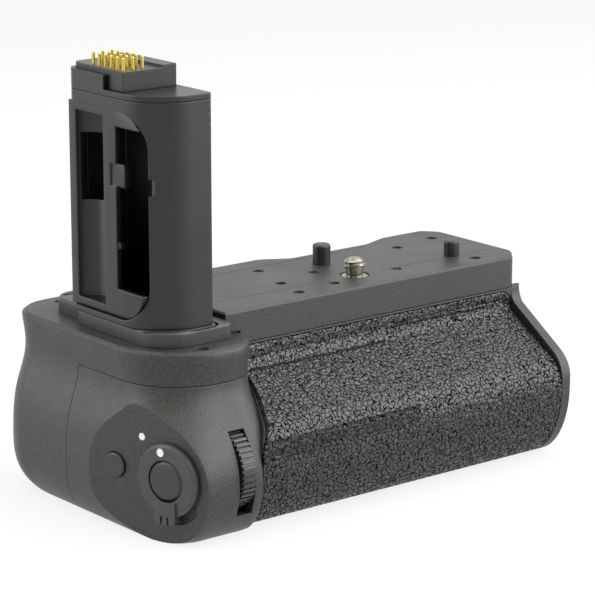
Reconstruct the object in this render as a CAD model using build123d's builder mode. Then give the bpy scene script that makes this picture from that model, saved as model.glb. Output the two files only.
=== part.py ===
from build123d import *

import os
from math import atan2, cos, degrees, radians, sin, sqrt, tan

# The frame's origin is the mouth of the tripod socket, straight under the camera screw.
# +X runs to the tray end, -Y is the rubber front and +Z points at the camera.

# Overall body
body_height = 57.0
body_right = 55.5
deck_front_y = -12.0
rear_y = 39.4
wall = 2.4
roof = 1.6
seam_gap = 0.16
overrun = 30.0

# Deck cover
band_depth = 9.4
deck_thickness = 2.2
deck_back_y = 32.0
deck_notch_y = 27.2
deck_corner_y = 30.5
notch_left_x = -1.8
notch_left_out_x = -9.9
notch_right_x = 27.0
notch_right_out_x = 36.0
front_chamfer_x = 50.5
front_chamfer_y = -6.0
back_chamfer_x = 51.5
back_chamfer_y = 26.0
deck_corner_radius = 3.0
notch_radius = 6.0
deck_edge_radius = 0.5
deck_overhang_x = -55.4
groove_depth = 0.3
groove_width = 0.5
front_groove_y = -0.9
back_groove_y = 24.2
back_groove_right_x = 26.0

# Grip bulge, seen from the end
crest_y = -34.4
shoulder_z = 28.0
belly_z = 22.0
belly_y = -20.0
fold_z = 41.5
rim_fold_z = 44.4
rim_shoulder_z = 29.5
neck_radius = 5.0
shoulder_radius = 10.0
bottom_radius = 6.0
end_edge_radius = 2.4

# Seam between the body and the shutter end, seen from the front
seam_top_x = -50.5
seam_low_x = -60.0
seam_bend_top_z = 37.0
seam_bend_low_z = 24.0
seam_bend_radius = 10.0
cover_split_y = 12.0

# Rubber skin
rubber_thickness = 1.2
rubber_right = 50.0
rubber_top_z = 47.0
rubber_back_y = -21.5
rubber_corner_radius = 4.0
rubber_gap = 0.12

# Shutter end
block_height = 51.2
block_left_x = -85.0
block_front_y = -23.3
block_back_y = 51.4
block_bulge_left = 4.0
block_bulge_front = 11.1
block_bulge_back = 6.0
block_corner_radius = 20.0
block_back_radius = 13.0
heel_x = -44.0
heel_share = 0.8
nose_radius = 12.0
block_edge_radius = 0.8
panel_seam_y = 16.0
panel_seam_z = 41.8

# Height, left, front and back bulge and corner radius of each level, bottom to top
block_shares = [
    (0.0, -0.40, 0.10, -1.0, 0.45),
    (0.078, 0.50, 0.66, -0.30, 0.55),
    (0.195, 0.95, 0.92, 0.0, 0.60),
    (0.371, 1.0, 1.0, 0.04, 0.60),
    (0.527, 0.80, 0.74, 0.04, 0.70),
    (0.684, 0.20, 0.20, 0.02, 0.85),
    (0.84, -0.15, 0.0, 0.0, 0.97),
    (1.0, 0.0, 0.0, 0.0, 1.0),
]

# Control facet on the shutter end
facet_x = -88.5
facet_y = 3.0
facet_turn = 15.0
running_gap = 0.15

# Release button and its lock ring, along the facet from its rear edge
release_u = 26.0
release_z = 18.0
release_radius = 5.5
release_proud = 2.3
release_dome = 0.7
ring_radius = 10.0
ring_bore_radius = 5.7
ring_proud = 2.0
ring_edge = 0.7
ring_lift = 0.1
collar_radius = 7.2
collar_reach = 3.2
clip_radius = 8.6
clip_thickness = 0.6
lug_reach = 12.0
lug_width = 7.0
lug_height = 2.6
lug_groove = 0.7
lug_groove_pitch = 2.2
ring_turn = 30.0
lug_pocket_depth = 0.9
dot_depth = 0.3
ring_dot_radius = 1.15
ring_dot_turn = 102.0
body_dot_radius = 1.0
body_dot_u = 16.6
body_dot_z = 28.2

# Small push buttons
function_u = 7.3
function_z = 18.7
function_radius = 3.4
function_proud = 0.9
button_flange = 1.0
button_flange_depth = 0.8
button_edge = 0.35
stem_radius = 1.6

# Switches and boards behind the buttons
board_depth = 8.0
board_thickness = 1.2
switch_side = 6.0
switch_height = 2.0
plunger_radius = 1.5
plunger_height = 0.4
button_reach = 4.9
release_reach = 4.5
front_board_start_u = 1.5
front_board_end_u = 30.5
front_board_low_z = 10.0
front_board_high_z = 33.0

# Front dial
dial_slot_left_x = -67.9
dial_slot_right_x = -62.7
dial_slot_low_z = 7.5
dial_slot_high_z = 30.2
dial_radius = 11.5
dial_axis_y = -24.3
dial_side_gap = 0.5
dial_rib_count = 44
dial_rib_depth = 0.7
dial_rib_share = 0.55
dial_hub_radius = 4.0
dial_hub_step = 0.25
axle_radius = 1.5
axle_clearance = 0.05
bracket_thickness = 1.5
bracket_base_thickness = 1.8
bracket_front_y = -23.6
bracket_back_y = -16.0
bracket_eye_radius = 3.5

# Controls on the back of the shutter end
back_face_y = 51.6
rear_dial_x = -67.0
rear_dial_drop = 10.2
rear_dial_z = block_height - rear_dial_drop
rear_dial_radius = 9.0
rear_dial_proud = 1.5
rear_dial_width = 4.0
rear_dial_rib_count = 34
rear_bracket_half = 4.4
rear_web_y = 31.5
focus_x = -59.0
focus_z = 31.0
focus_radius = 3.6
focus_proud = 1.3
info_x = -71.0
info_z = 29.0
info_radius = 2.8
info_proud = 1.0
stick_x = -64.0
stick_z = 18.0
stick_radius = 4.2
stick_hole_radius = 5.4
stick_proud = 1.2
stick_height = 2.2
stick_stem_radius = 2.0
gimbal_radius = 4.6
gimbal_bore_radius = 3.0
gimbal_height = 1.2
gimbal_depth = 4.4
base_radius = 7.4
rear_board_margin = 3.6

# Plug base, the raised flange
base_rise = 4.3
base_top_z = block_height + base_rise
base_left_x = -80.3
base_right_x = -55.7
base_front_y = -16.5
base_step_y = 22.0
base_back_left_x = -77.6
base_back_right_x = -57.5
base_back_y = 40.3
base_front_radius = 9.5
base_back_radius = 7.0
base_small_radius = 2.5
base_edge_radius = 0.5
seal_y = 37.0
seal_left_x = -75.0
seal_right_x = -60.0
seal_width = 1.6
seal_depth = 1.2
seal_drop = 0.3
rim_groove_width = 0.8
rim_groove_depth = 0.7

# Battery-shaped plug
plug_left_x = -81.0
plug_right_x = -61.0
plug_front_y = -14.6
plug_back_y = 24.5
plug_height = 62.8
plug_top_z = base_top_z + plug_height
plug_wall = 1.6
plug_front_radius = 13.6
plug_back_radius = 4.0
plug_small_radius = 1.2
cap_thickness = 1.5
opening_front_y = -9.2
opening_rise = 1.5
opening_drop = 4.9
opening_low_z = base_top_z + opening_rise
opening_high_z = plug_top_z - opening_drop
opening_radius = 9.5
opening_depth_x = -75.5
panel_thickness = 1.6
panel_inset = 0.9
window_margin = 9.3
window_high_z = plug_top_z - window_margin
window_low_z = base_top_z + window_margin
window_back_y = 3.0
channel_y = 15.0
channel_radius = 6.5
channel_wall = 1.2
channel_rise = 2.7
channel_drop = 6.0
channel_low_z = base_top_z + channel_rise
channel_high_z = plug_top_z - channel_drop
gate_drop = 13.8
gate_length = 18.5
gate_high_z = plug_top_z - gate_drop
gate_low_z = gate_high_z - gate_length
tab_front_y = -0.2
tab_back_y = 5.6
tab_drop = 19.5
tab_length = 6.1
tab_high_z = plug_top_z - tab_drop
tab_low_z = tab_high_z - tab_length
tab_thickness = 2.2
tab_pocket = 0.6
peg_rise = 20.2
peg_height = 1.7
peg_low_z = base_top_z + peg_rise
peg_high_z = peg_low_z + peg_height
peg_front_y = 2.1
nick_drop = 21.9
nick_length = 4.6
nick_high_z = plug_top_z - nick_drop
nick_low_z = nick_high_z - nick_length
skirt_front_y = 6.8
skirt_rise = 3.9
skirt_top_z = plug_top_z + skirt_rise
skirt_wall = 1.2
block_seat_y = -0.4
contact_rise = 5.4
contact_top_z = plug_top_z + contact_rise
contact_side_x = -67.0
contact_side_rise = 0.7
pin_count_x = 3
pin_count_y = 6
pin_pitch_x = 3.05
pin_pitch_y = 2.75
pin_first_x = -78.3
pin_first_y = 1.2
pin_radius = 0.45
pin_rise = 3.5
pin_top_z = contact_top_z + pin_rise
pin_point = 0.2
pin_clearance = 0.03
plug_board_drop = 4.4
plug_board_z = plug_top_z - plug_board_drop
plug_board_inset = 2.0
plug_notch_drop = 7.8
plug_notch_low_z = plug_top_z - plug_notch_drop
plug_notch_pitch = 2.6
plug_notch_height = 0.5
plug_notch_depth = 0.6
plug_notch_length = 1.6

# Camera screw and its drive
screw_radius = 3.175
screw_thread_rise = 1.6
screw_rise = 4.9
screw_thread_low_z = body_height + screw_thread_rise
screw_top_z = body_height + screw_rise
screw_neck_radius = 2.25
screw_collar_radius = 3.9
screw_collar_drop = 2.8
screw_collar_height = 1.6
screw_collar_high_z = body_height - screw_collar_drop
screw_collar_low_z = screw_collar_high_z - screw_collar_height
screw_shaft_radius = 2.0
screw_tip = 0.7
screw_hole_radius = 4.2
gear_module = 0.6
screw_teeth = 26
wheel_teeth = 40
screw_gear_drop = 4.6
screw_gear_height = 2.0
screw_gear_high_z = body_height - screw_gear_drop
screw_gear_low_z = screw_gear_high_z - screw_gear_height
gear_backlash_share = 0.42
gear_tip_share = 0.26
gear_dedendum_share = 1.25
gear_addendum_share = 0.9
wheel_x = 12.0
wheel_drop = 3.0
wheel_height = 4.1
wheel_high_z = body_height - wheel_drop
wheel_low_z = wheel_high_z - wheel_height
wheel_slot_gap = 0.4
chassis_drop = 9.2
chassis_low_z = body_height - chassis_drop
chassis_thickness = 1.5

# Locating pins
left_pin_x = 1.1
left_pin_y = 16.2
left_pin_radius = 2.6
left_pin_height = 5.9
right_pin_x = 37.5
right_pin_y = 0.5
right_pin_radius = 2.25
right_pin_height = 4.6
pin_round = 0.7
pin_foot_radius = 1.8

# Screws
deck_screw_spots = [
    (-18.9, 20.4),
    (-22.9, 5.0),
    (-25.2, -6.0),
    (-11.0, -4.2),
    (-7.2, 9.4),
    (13.9, -2.1),
    (31.3, 17.7),
    (47.5, 20.6),
    (40.5, -6.5),
]
small_head_radius = 1.5
small_shank_radius = 0.9
small_head_height = 0.7
small_recess = 1.1
post_radius = 2.0
shoulder_spots = [(-69.0, -19.8), (-70.0, 45.6)]
bottom_spots = [(-72.0, -12.0), (-72.0, 30.0), (-30.0, -14.0), (-30.0, 26.0), (44.0, -16.0)]
bottom_head_radius = 1.9
bottom_recess = 1.5
bottom_boss_height = 3.0
screw_slot_width = 0.4
screw_length = 4.8

# Tripod socket
socket_radius = 3.2
socket_depth = 4.7
socket_body_radius = 5.5
socket_flange_radius = 8.0
socket_flange = 1.0
socket_cap = 0.4

# Battery tray and its bay
battery_length = 56.6
battery_width = 38.2
battery_thickness = 20.6
tray_front_y = -8.3
tray_wall = 0.8
tray_divider = 1.0
tray_end = 1.2
tray_floor = 0.8
tray_floor_z = 6.4
tray_side_height = 33.0
tray_slot_width = 2.0
tray_window_share = 0.55
tray_window_height = 20.0
door_thickness = 2.4
door_low_z = 6.5
door_high_z = 47.3
door_gap = 0.3
door_corner_radius = 2.0
door_edge = 0.5
liner_wall = 0.8
liner_clearance = 0.3
liner_floor = 0.8
bay_inner_gap = 4.6
liner_rib = 1.2
latch_y = 27.4
latch_z = 27.0
latch_radius = 6.5
latch_dish_depth = 1.0
latch_shaft_radius = 2.5
latch_bar_width = 2.6
latch_bar_height = 0.8
pawl_length = 8.9
pawl_width = 5.0
pawl_thickness = 1.5
contact_width = 2.4
contact_strip = 0.5
contact_pitch = 6.0
contact_count = 3
strip_pitch = 4.0
contact_reach = 2.2
contact_plate = 1.6

# Places worked out from the sizes above
band_z = body_height - band_depth
deck_under_z = body_height - deck_thickness
tray_depth = 2 * battery_thickness + tray_divider + 2 * tray_wall
tray_back_y = tray_front_y + tray_depth
door_inner_x = body_right - door_thickness
tray_end_right_x = door_inner_x - tray_slot_width
pocket_right_x = tray_end_right_x - tray_end
pocket_left_x = pocket_right_x - battery_length
tray_left_x = pocket_left_x - tray_wall
bay_left_x = tray_left_x - bay_inner_gap
pocket_floor_z = tray_floor_z + tray_floor
dial_mid_z = (dial_slot_low_z + dial_slot_high_z) / 2
dial_mid_x = (dial_slot_left_x + dial_slot_right_x) / 2
dial_width = dial_slot_right_x - dial_slot_left_x - 2 * dial_side_gap
rear_dial_axis_y = back_face_y + rear_dial_proud - rear_dial_radius
chassis_top_z = chassis_low_z + chassis_thickness
gear_distance = gear_module * (screw_teeth + wheel_teeth) / 2
wheel_y = sqrt(gear_distance**2 - wheel_x**2)
mesh_turn = degrees(atan2(wheel_y, wheel_x))
wheel_phase = mesh_turn + 180 + 180 / wheel_teeth + mesh_turn * screw_teeth / wheel_teeth
wheel_tip_radius = gear_module * (wheel_teeth / 2 + gear_addendum_share)

os.makedirs("parts", exist_ok=True)


def save(builder, name):
    builder.part.label = name
    export_step(builder.part, f"parts/{name}.step")


# Frames of the controls
turn = radians(facet_turn)
facet = Plane(
    origin=(facet_x, facet_y, 0),
    x_dir=(sin(turn), -cos(turn), 0),
    z_dir=(-cos(turn), -sin(turn), 0),
)
back_face = Plane(origin=(0, back_face_y, 0), x_dir=(-1, 0, 0), z_dir=(0, 1, 0))


def local_plane(face, along, height, lift):
    """A plane on a control face, at a place on it and lifted outwards."""
    origin = face.from_local_coords(Vector(along, height, lift))
    return Plane(origin=origin, x_dir=face.x_dir, z_dir=face.z_dir)


def box_between(low, high):
    """A box between two corners, as a part."""
    with BuildPart(Plane(origin=low)) as block:
        size = [b - a for a, b in zip(low, high)]
        Box(*size, align=(Align.MIN, Align.MIN, Align.MIN))
    return block.part


def disc(plane, radius, height):
    """A cylinder that stands on a plane."""
    with BuildPart() as round_part:
        with BuildSketch(plane):
            Circle(radius)
        extrude(amount=height)
    return round_part.part


# Outlines that several pieces share


def body_section(x, inset, fold, shoulder, top):
    """Cross-section of the body up to a height, drawn inset from its skin."""
    lean = atan2(deck_front_y - crest_y, fold - shoulder)
    drop = inset * tan(lean / 2)
    with BuildSketch(Plane.YZ.offset(x)) as section:
        with BuildLine():
            FilletPolyline(
                (deck_front_y + inset, top),
                (deck_front_y + inset, fold - drop),
                (crest_y + inset, shoulder - drop),
                (crest_y + inset, belly_z),
                radius=[neck_radius + inset, shoulder_radius - inset],
            )
            EllipticalCenterArc(
                (belly_y, belly_z), belly_y - crest_y - inset, belly_z - inset, 180, arc_size=90
            )
            FilletPolyline(
                (belly_y, inset),
                (rear_y - inset, inset),
                (rear_y - inset, top),
                radius=bottom_radius - inset,
            )
            Line((rear_y - inset, top), (deck_front_y + inset, top))
        make_face()
    return section.sketch


def body_bar(left, right, inset, fold, shoulder, top):
    """The body section drawn out along X."""
    with BuildPart() as bar:
        section = body_section(left, inset, fold, shoulder, top)
        extrude(section, amount=right - left, dir=(1, 0, 0))
    return bar.part


def right_of_seam(gap):
    """All the space on the body's side of the seam with the shutter end."""
    with BuildPart() as side:
        with BuildSketch(Plane.XZ.offset(-rear_y)):
            with BuildLine():
                FilletPolyline(
                    (seam_top_x + gap, body_height + overrun),
                    (seam_top_x + gap, seam_bend_top_z),
                    (seam_low_x + gap, seam_bend_low_z),
                    (seam_low_x + gap, -overrun),
                    radius=seam_bend_radius,
                )
                Polyline(
                    (seam_low_x + gap, -overrun),
                    (body_right + overrun, -overrun),
                    (body_right + overrun, body_height + overrun),
                    (seam_top_x + gap, body_height + overrun),
                )
            make_face()
        extrude(amount=rear_y - crest_y + overrun)
    return side.part


def deck_outline(z, inset, left):
    """Plan of the camera deck, with the notch for the wheel in its back edge."""
    with BuildSketch(Plane.XY.offset(z)) as outline:
        with BuildLine():
            FilletPolyline(
                (left, deck_front_y),
                (front_chamfer_x, deck_front_y),
                (body_right, front_chamfer_y),
                (body_right, back_chamfer_y),
                (back_chamfer_x, deck_corner_y),
                (notch_right_out_x, deck_corner_y),
                (notch_right_x, deck_notch_y),
                (notch_left_x, deck_notch_y),
                (notch_left_out_x, deck_back_y),
                (left, deck_back_y),
                radius=[deck_corner_radius] * 4 + [notch_radius] * 4,
            )
            Line((left, deck_back_y), (left, deck_front_y))
        make_face()
        if inset:
            offset(amount=-inset, kind=Kind.INTERSECTION, mode=Mode.REPLACE)
    return outline.sketch


def block_level(height):
    """Left, front, back and corner radius of the shutter end at a height."""
    share = height / block_height
    for low, high in zip(block_shares, block_shares[1:]):
        if share <= high[0]:
            break
    mix = (share - low[0]) / (high[0] - low[0])
    _, left, front, back, corner = [a + mix * (b - a) for a, b in zip(low, high)]
    return (
        block_left_x - left * block_bulge_left,
        block_front_y - front * block_bulge_front,
        block_back_y + back * block_bulge_back,
        corner * block_corner_radius,
    )


def block_section(height, inset):
    """Plan of the shutter end at a height, drawn inset from its skin."""
    left, front, back, corner = block_level(height)
    nose = seam_top_x - inset
    heel = heel_x - inset
    inner = rear_y + seam_gap + inset
    with BuildSketch(Plane.XY.offset(height)) as section:
        with BuildLine():
            FilletPolyline(
                (nose, inner),
                (nose, front + inset),
                (left + inset, front + inset),
                (left + inset, back - inset),
                (heel, back - inset),
                (heel, inner),
                radius=[
                    nose_radius - inset,
                    corner - inset,
                    block_back_radius - inset,
                    heel_share * (back - inset - inner),
                ],
            )
            Line((heel, inner), (nose, inner))
        make_face()
    return section.sketch


def block_loft(heights, inset):
    """The shutter end's form through its levels."""
    with BuildPart() as form:
        for height in heights:
            add(block_section(height, inset))
        loft()
    return form.part


def plug_outline(z, inset):
    """Plan of the battery-shaped plug, drawn inset from its skin."""
    with BuildSketch(Plane.XY.offset(z)) as outline:
        with BuildLine():
            FilletPolyline(
                (plug_right_x, plug_back_y),
                (plug_left_x, plug_back_y),
                (plug_left_x, plug_front_y),
                (plug_right_x, plug_front_y),
                radius=[plug_small_radius, plug_back_radius, plug_front_radius, plug_small_radius],
                close=True,
            )
        make_face()
        if inset:
            offset(amount=-inset, kind=Kind.INTERSECTION, mode=Mode.REPLACE)
    return outline.sketch


def pin_spots():
    """Places of the contact pins."""
    return [
        (pin_first_x + i * pin_pitch_x, pin_first_y + j * pin_pitch_y)
        for i in range(pin_count_x)
        for j in range(pin_count_y)
    ]


def ribbed_sketch(plane, radius, depth, count):
    """A disc whose edge carries straight ribs."""
    with BuildSketch(plane) as wheel:
        Circle(radius)
        rib_width = radius * radians(360 / count)
        with PolarLocations(radius, count):
            Rectangle(2 * depth, rib_width * (1 - dial_rib_share), mode=Mode.SUBTRACT)
    return wheel.sketch


def gear_sketch(z, x, y, teeth, phase):
    """A spur gear of straight-flanked teeth."""
    pitch_radius = gear_module * teeth / 2
    root = pitch_radius - gear_dedendum_share * gear_module
    tip = pitch_radius + gear_addendum_share * gear_module
    step = 360 / teeth
    with BuildSketch(Plane(origin=(x, y, z))) as gear:
        Circle(root)
        arc = radians(step)
        half_tip = tip * arc * gear_tip_share / 2
        half_pitch = pitch_radius * arc * gear_backlash_share / 2
        half_root = 2 * half_pitch - half_tip
        under = root - gear_module
        for i in range(teeth):
            with Locations(Rotation(0, 0, phase + i * step)):
                Polygon(
                    (under, -half_root),
                    (tip, -half_tip),
                    (tip, half_tip),
                    (under, half_root),
                    align=None,
                )
    return gear.sketch


# Deck cover
with BuildPart() as top_cover:
    add(deck_outline(band_z + seam_gap, 0, seam_top_x + seam_gap))
    extrude(amount=band_depth - seam_gap)
    with BuildSketch(Plane.XY.offset(block_height + seam_gap)):
        with Locations(((deck_overhang_x + seam_top_x) / 2 + wall, (deck_front_y + deck_back_y) / 2)):
            Rectangle(seam_top_x - deck_overhang_x + 2 * wall, deck_back_y - deck_front_y)
    extrude(amount=body_height - block_height - seam_gap)
    top_rim = top_cover.faces().sort_by(Axis.Z)[-1].edges()
    chamfer(top_rim, length=deck_edge_radius)
    with BuildSketch(Plane.XY.offset(band_z)):
        add(deck_outline(band_z, wall, seam_top_x))
    extrude(amount=deck_under_z - band_z, mode=Mode.SUBTRACT)
    with BuildSketch(Plane.XY.offset(body_height)):
        Circle(screw_hole_radius)
        with Locations((left_pin_x, left_pin_y), (right_pin_x, right_pin_y)):
            Circle(pin_foot_radius)
        with Locations(*deck_screw_spots):
            Circle(small_shank_radius)
    extrude(amount=-deck_thickness, mode=Mode.SUBTRACT)
    with BuildSketch(Plane.XY.offset(body_height)):
        with Locations(*deck_screw_spots):
            Circle(small_head_radius + running_gap)
    extrude(amount=-small_recess, mode=Mode.SUBTRACT)
    with BuildSketch(Plane.XY.offset(body_height)):
        with Locations(((deck_overhang_x + body_right) / 2, front_groove_y)):
            Rectangle(body_right - deck_overhang_x - 4 * wall, groove_width)
        Circle(screw_hole_radius + 2 * wall, mode=Mode.SUBTRACT)
        with Locations((right_pin_x, right_pin_y)):
            Circle(right_pin_radius + wall, mode=Mode.SUBTRACT)
        with Locations(((deck_overhang_x + back_groove_right_x) / 2, back_groove_y)):
            Rectangle(back_groove_right_x - deck_overhang_x - wall, groove_width)
    extrude(amount=-groove_depth, mode=Mode.SUBTRACT)
    with BuildSketch(Plane.XY.offset(wheel_low_z - wheel_slot_gap)):
        with Locations((wheel_x, wheel_y)):
            Circle(wheel_tip_radius + wheel_slot_gap)
    extrude(amount=wheel_high_z - wheel_low_z + 2 * wheel_slot_gap, mode=Mode.SUBTRACT)
save(top_cover, "top_cover")

# The moulded body as one form, before it is parted into its front and rear covers
with BuildPart() as body_form:
    add(body_bar(rubber_right, body_right, 0, rim_fold_z, rim_shoulder_z, band_z))
    end_edges = (
        body_form.faces()
        .sort_by(Axis.X)[-1]
        .edges()
        .filter_by(lambda e: e.center().Z < band_z - seam_gap)
    )
    chamfer(end_edges, length=end_edge_radius)
    add(body_bar(seam_low_x - wall, rubber_right, 0, fold_z, shoulder_z, band_z))
    add(
        body_bar(seam_low_x - overrun, door_inner_x, wall, fold_z, shoulder_z, band_z - roof),
        mode=Mode.SUBTRACT,
    )
    add(
        box_between(
            (seam_top_x + wall, deck_front_y + wall, body_height / 2),
            (door_inner_x - wall, deck_notch_y - wall, body_height),
        ),
        mode=Mode.SUBTRACT,
    )
    with BuildSketch(Plane.YZ.offset(door_inner_x - wall)):
        with Locations(((tray_front_y + tray_back_y) / 2, door_low_z - door_gap)):
            Rectangle(
                tray_depth + 2 * door_gap,
                body_height,
                align=(Align.CENTER, Align.MIN),
            )
    extrude(amount=door_thickness + 2 * wall, mode=Mode.SUBTRACT)
    add(right_of_seam(seam_gap / 2), mode=Mode.INTERSECT)


def rubber_field(gap):
    """The space that the rubber skin may fill, in front of the body."""
    with BuildPart() as field:
        with BuildSketch(Plane.XZ.offset(-rubber_back_y)):
            with BuildLine():
                FilletPolyline(
                    (seam_low_x - wall, rubber_top_z - gap),
                    (rubber_right - gap, rubber_top_z - gap),
                    (rubber_right - gap, -overrun),
                    radius=[rubber_corner_radius],
                )
                Polyline(
                    (rubber_right - gap, -overrun),
                    (seam_low_x - wall, -overrun),
                    (seam_low_x - wall, rubber_top_z - gap),
                )
            make_face()
        extrude(amount=overrun)
        with BuildSketch(Plane.XZ.offset(-deck_front_y - 2 * rubber_thickness)):
            with BuildLine():
                FilletPolyline(
                    (seam_low_x - wall, rubber_top_z - gap),
                    (rubber_right - gap, rubber_top_z - gap),
                    (rubber_right - gap, belly_z),
                    radius=[rubber_corner_radius],
                )
                Polyline(
                    (rubber_right - gap, belly_z),
                    (seam_low_x - wall, belly_z),
                    (seam_low_x - wall, rubber_top_z - gap),
                )
            make_face()
        extrude(amount=overrun)
    return field.part


def rubber_skin(gap):
    """The rubber's layer over the body, set back from its edges."""
    with BuildPart() as skin:
        add(body_bar(seam_low_x - wall, rubber_right + wall, 0, fold_z, shoulder_z, band_z))
        add(
            body_bar(
                seam_low_x - overrun,
                rubber_right + overrun,
                rubber_thickness - gap / 2,
                fold_z,
                shoulder_z,
                body_height,
            ),
            mode=Mode.SUBTRACT,
        )
        add(rubber_field(gap), mode=Mode.INTERSECT)
        add(right_of_seam(seam_gap / 2 + gap), mode=Mode.INTERSECT)
    return skin.part


with BuildPart() as grip_rubber:
    add(rubber_skin(rubber_gap))
save(grip_rubber, "grip_rubber")

with BuildPart() as front_cover:
    add(body_form.part)
    split(bisect_by=Plane.XZ.offset(-cover_split_y + seam_gap / 2), keep=Keep.TOP)
    add(rubber_skin(0), mode=Mode.SUBTRACT)
    with BuildSketch(Plane.XY):
        Circle(socket_body_radius)
    extrude(amount=wall, mode=Mode.SUBTRACT)
    with BuildSketch(Plane.XY):
        Circle(socket_flange_radius)
    extrude(amount=socket_flange, mode=Mode.SUBTRACT)
    front_spots = [spot for spot in bottom_spots if spot[0] > seam_low_x and spot[1] < cover_split_y]
    with BuildSketch(Plane.XY.offset(wall)):
        with Locations(*front_spots):
            Circle(bottom_head_radius + wall / 2)
    extrude(amount=bottom_boss_height)
    with BuildSketch(Plane.XY):
        with Locations(*front_spots):
            Circle(small_shank_radius)
    extrude(amount=wall + bottom_boss_height, mode=Mode.SUBTRACT)
    with BuildSketch(Plane.XY):
        with Locations(*front_spots):
            Circle(bottom_head_radius + running_gap)
    extrude(amount=bottom_recess, mode=Mode.SUBTRACT)
save(front_cover, "front_cover")

with BuildPart() as rear_cover:
    add(body_form.part)
    split(bisect_by=Plane.XZ.offset(-cover_split_y - seam_gap / 2), keep=Keep.BOTTOM)
    rear_spots = [spot for spot in bottom_spots if spot[0] > seam_low_x and spot[1] > cover_split_y]
    with BuildSketch(Plane.XY.offset(wall)):
        with Locations(*rear_spots):
            Circle(bottom_head_radius + wall / 2)
    extrude(amount=bottom_boss_height)
    with BuildSketch(Plane.XY):
        with Locations(*rear_spots):
            Circle(small_shank_radius)
    extrude(amount=wall + bottom_boss_height, mode=Mode.SUBTRACT)
    with BuildSketch(Plane.XY):
        with Locations(*rear_spots):
            Circle(bottom_head_radius + running_gap)
    extrude(amount=bottom_recess, mode=Mode.SUBTRACT)
save(rear_cover, "rear_cover")

# The shutter end as one hollow form, before its control corner is parted off
level_heights = [block_height * share[0] for share in block_shares]
inner_heights = [wall] + level_heights[2:-1] + [block_height - wall]
with BuildPart() as block_form:
    add(block_loft(level_heights, 0))
    top_edges = block_form.faces().sort_by(Axis.Z)[-1].edges()
    chamfer(
        top_edges.filter_by(lambda e: e.center().X < seam_top_x - wall),
        length=block_edge_radius,
    )
    split(bisect_by=facet, keep=Keep.BOTTOM)
with BuildPart() as block_hollow:
    add(block_loft(inner_heights, wall))
    split(bisect_by=facet.offset(-wall), keep=Keep.BOTTOM)
with BuildPart() as block_shell:
    add(block_form.part)
    add(block_hollow.part, mode=Mode.SUBTRACT)
    add(right_of_seam(-seam_gap / 2), mode=Mode.SUBTRACT)
    block_spots = [spot for spot in bottom_spots if spot[0] < seam_low_x]
    with BuildSketch(Plane.XY.offset(wall)):
        with Locations(*block_spots):
            Circle(bottom_head_radius + wall / 2)
    extrude(amount=bottom_boss_height)
    with BuildSketch(Plane.XY):
        with Locations(*block_spots):
            Circle(small_shank_radius)
    extrude(amount=wall + bottom_boss_height, mode=Mode.SUBTRACT)
    with BuildSketch(Plane.XY):
        with Locations(*block_spots):
            Circle(bottom_head_radius + running_gap)
    extrude(amount=bottom_recess, mode=Mode.SUBTRACT)


def control_corner(gap):
    """The space of the separate control corner, low and in front of its seams."""
    return box_between(
        (block_left_x - overrun, crest_y - overrun, -overrun),
        (seam_top_x + overrun, panel_seam_y - gap, panel_seam_z - gap),
    )


with BuildPart() as end_cover:
    add(block_shell.part)
    add(control_corner(-seam_gap / 2), mode=Mode.SUBTRACT)
    with BuildSketch(Plane.XY.offset(block_height)):
        with Locations(*shoulder_spots):
            Circle(small_head_radius + 2 * running_gap)
    extrude(amount=-small_recess, mode=Mode.SUBTRACT)
    with BuildSketch(Plane.XY.offset(block_height)):
        with Locations(*shoulder_spots):
            Circle(small_shank_radius)
    extrude(amount=-2 * wall, mode=Mode.SUBTRACT)
    with BuildSketch(local_plane(back_face, -rear_dial_x, rear_dial_z, 0)):
        Rectangle(2 * (rear_dial_radius - 2 * dial_side_gap), rear_dial_width + 2 * dial_side_gap)
    extrude(amount=2 * wall, both=True, mode=Mode.SUBTRACT)
    for along, height, radius in [
        (-focus_x, focus_z, focus_radius + running_gap),
        (-info_x, info_z, info_radius + running_gap),
        (-stick_x, stick_z, stick_hole_radius),
    ]:
        with BuildSketch(local_plane(back_face, along, height, 0)):
            Circle(radius)
        extrude(amount=2 * wall, both=True, mode=Mode.SUBTRACT)
save(end_cover, "end_cover")

with BuildPart() as shutter_housing:
    add(block_shell.part)
    add(control_corner(seam_gap / 2), mode=Mode.INTERSECT)
    with BuildSketch(local_plane(facet, release_u, release_z, 0)):
        Circle(collar_radius + running_gap)
    extrude(amount=-2 * wall, mode=Mode.SUBTRACT)
    with BuildSketch(local_plane(facet, release_u, release_z, 0)):
        Circle(lug_reach + 2 * running_gap)
        Circle(collar_radius + wall, mode=Mode.SUBTRACT)
        with Locations(Rotation(0, 0, -90 + ring_turn / 2)):
            with Locations((lug_reach, 0)):
                Rectangle(lug_reach, lug_width + lug_reach * radians(ring_turn), mode=Mode.INTERSECT)
    extrude(amount=-lug_pocket_depth, mode=Mode.SUBTRACT)
    with BuildSketch(local_plane(facet, function_u, function_z, 0)):
        Circle(function_radius + running_gap)
    extrude(amount=-2 * wall, mode=Mode.SUBTRACT)
    with BuildSketch(local_plane(facet, body_dot_u, body_dot_z, 0)):
        Circle(body_dot_radius)
    extrude(amount=-dot_depth, mode=Mode.SUBTRACT)
    with BuildSketch(Plane.XZ.offset(-dial_axis_y)):
        with Locations((dial_mid_x, dial_mid_z)):
            Rectangle(
                dial_slot_right_x - dial_slot_left_x,
                dial_slot_high_z - dial_slot_low_z,
            )
    extrude(amount=overrun, mode=Mode.SUBTRACT)
save(shutter_housing, "shutter_housing")

# White index dots
with BuildPart() as body_dot:
    add(disc(local_plane(facet, body_dot_u, body_dot_z, -dot_depth), body_dot_radius, dot_depth))
save(body_dot, "body_dot")

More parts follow.
